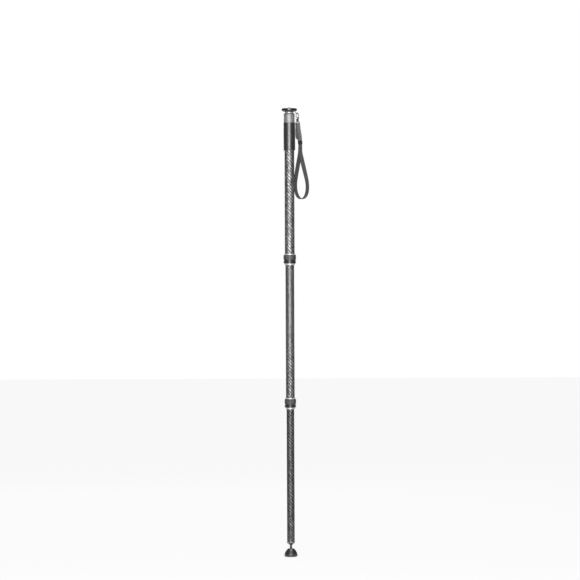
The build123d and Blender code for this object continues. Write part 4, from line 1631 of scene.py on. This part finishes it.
@dataclass
class Studio:
    """The photograph's view, with a white floor and background and soft lamps."""

    image: float = 580.0
    focal: float = 2700.0
    pixel: float = 3.68 * MM
    eye_height: float = 0.981
    shift_x: float = 0.0004
    roll: float = math.radians(-0.243)
    sensor: float = 36.0
    floor_half: float = 20.0
    floor_grey: float = 0.78
    sky: float = 0.18
    dark_side: float = 0.12
    floor_glow: float = 0.88
    overhead: float = 1.4
    overhead_width: float = math.radians(30.0)
    overhead_lean: float = math.radians(12.0)

    def build(self) -> None:
        """Builds the view, the lamps, the floor and the world."""
        self._camera()
        self._lamps()
        self._floor()
        self._world()

    def _camera(self) -> None:
        """Places the camera level with the middle of the picture, rolled as the photograph is."""
        lens = bpy.data.cameras.new("view")
        lens.sensor_width = self.sensor
        lens.lens = self.sensor * self.focal / self.image
        lens.clip_end = 100.0
        camera = new_object("view", lens)
        spot = Vector((self.shift_x, -self.pixel * self.focal, self.eye_height))
        level = Matrix.Rotation(math.radians(90.0), 4, "X")
        roll = Matrix.Rotation(self.roll, 4, "Z")
        camera.matrix_world = Matrix.Translation(spot) @ level @ roll
        bpy.context.scene.camera = camera

    def _lamps(self) -> None:
        """Places four soft lamps, two in front, one high up and one behind, and one overhead."""
        lamps = (
            ("strip", (-0.1, -3.6, 1.5), 1.2, (1.2, 2.3), 72.0),
            ("broad", (-0.1, -3.7, 1.5), 1.2, (4.4, 2.3), 30.0),
            ("high", (0.4, -0.8, 4.3), 1.4, (1.6, 1.6), 16.0),
            ("back", (-1.4, 3.2, 2.4), 0.9, (2.0, 2.0), 26.0),
        )
        for name, spot, target, size, power in lamps:
            lamp = bpy.data.lights.new(name, "AREA")
            lamp.shape = "RECTANGLE"
            lamp.size, lamp.size_y = size
            lamp.energy = power
            thing = new_object(name, lamp)
            aim = (Vector((0.0, 0.0, target)) - Vector(spot)).to_track_quat("-Z", "Y")
            thing.matrix_world = Matrix.Translation(Vector(spot)) @ aim.to_matrix().to_4x4()
            thing.visible_camera = False
        overhead = bpy.data.lights.new("overhead", "SUN")
        overhead.energy, overhead.angle = self.overhead, self.overhead_width
        lean = Matrix.Rotation(self.overhead_lean, 4, "X")
        new_object("overhead", overhead).matrix_world = lean

    def _floor(self) -> None:
        """Lays the pale floor, which the camera sees as nearly white with a light shadow."""
        half = self.floor_half
        spots = [(-half, -half, 0.0), (half, -half, 0.0), (half, half, 0.0), (-half, half, 0.0)]
        mesh = bpy.data.meshes.new("floor")
        mesh.from_pydata(spots, [], [(0, 1, 2, 3)])
        floor = new_object("floor", mesh)
        material, graph, shader = new_material("pale_floor")
        grey = tint((self.floor_grey,) * 3)
        graph.fill(shader, {"Base Color": grey, "Roughness": 0.9, "Specular IOR Level": 0.0})
        path = graph.add("ShaderNodeLightPath").outputs
        side = graph.step(graph.math("ABSOLUTE", graph.axes(graph.place())[0]), 0.2, 0.6)
        mirror = graph.between(side, 1.0, self.dark_side)
        seen = graph.math("MULTIPLY", path["Is Glossy Ray"], mirror)
        seen = graph.math("MAXIMUM", seen, path["Is Camera Ray"])
        seen = graph.math("MAXIMUM", seen, path["Is Transmission Ray"])
        share = graph.math("MULTIPLY", seen, self.floor_glow)
        glow = graph.add("ShaderNodeEmission", {"Color": (1.0, 1.0, 1.0, 1.0), "Strength": 1.0})
        shaders = {0: share, 1: shader.outputs[0], 2: glow.outputs[0]}
        mixed = graph.add("ShaderNodeMixShader", shaders).outputs[0]
        graph.fill(graph.tree.nodes["Material Output"], {"Surface": mixed})
        mesh.materials.append(material)

    def _world(self) -> None:
        """Lights the scene evenly; the camera and glass see a white background, and metal sees it
        white but darker at the sides and above.
        """
        world = bpy.data.worlds.new("studio")
        world.use_nodes = True
        bpy.context.scene.world = world
        graph = Graph(world.node_tree)
        path = graph.add("ShaderNodeLightPath").outputs
        seen = graph.math("MAXIMUM", path["Is Camera Ray"], path["Is Transmission Ray"])
        axes = graph.axes(graph.add("ShaderNodeTexCoord").outputs["Generated"])
        side = graph.step(graph.math("ABSOLUTE", axes[0]), 0.25, 0.6)
        above = graph.step(axes[2], 0.3, 0.6)
        mirror = graph.between(graph.math("MAXIMUM", side, above), 1.0, self.dark_side)
        glossy = graph.math("MULTIPLY", path["Is Glossy Ray"], mirror)
        seen = graph.math("MAXIMUM", seen, glossy)
        plain = graph.math("SUBTRACT", 1.0, path["Is Glossy Ray"])
        strength = graph.math("MAXIMUM", seen, graph.math("MULTIPLY", plain, self.sky))
        back = {"Color": (1.0, 1.0, 1.0, 1.0), "Strength": strength}
        graph.fill(graph.tree.nodes["Background"], back)


def main() -> None:
    """Builds the studio and then the monopod, the strap first."""
    logging.basicConfig(level=logging.INFO, format="%(message)s")
    bpy.context.scene.view_settings.view_transform = "Standard"
    for assembly in (
        Studio(),
        Strap(),
        Head(),
        # The shades are painted shade: the upper tube is painted lighter and the lower tubes
        # darker.
        Tube("upper_tube", UPPER_R, 36, 1.1),
        Tube("middle_tube", MIDDLE_R, 32, 0.84),
        Tube("lower_tube", LOWER_R, 28, 0.48),
        TwistLock("upper", UPPER_R, MIDDLE_R, 40),
        TwistLock("lower", MIDDLE_R, LOWER_R, 36),
        Foot(),
    ):
        assembly.build()
    repaint(WHITE_NYLON, "middle_shims", "lower_shims")


if __name__ == "__main__":
    main()
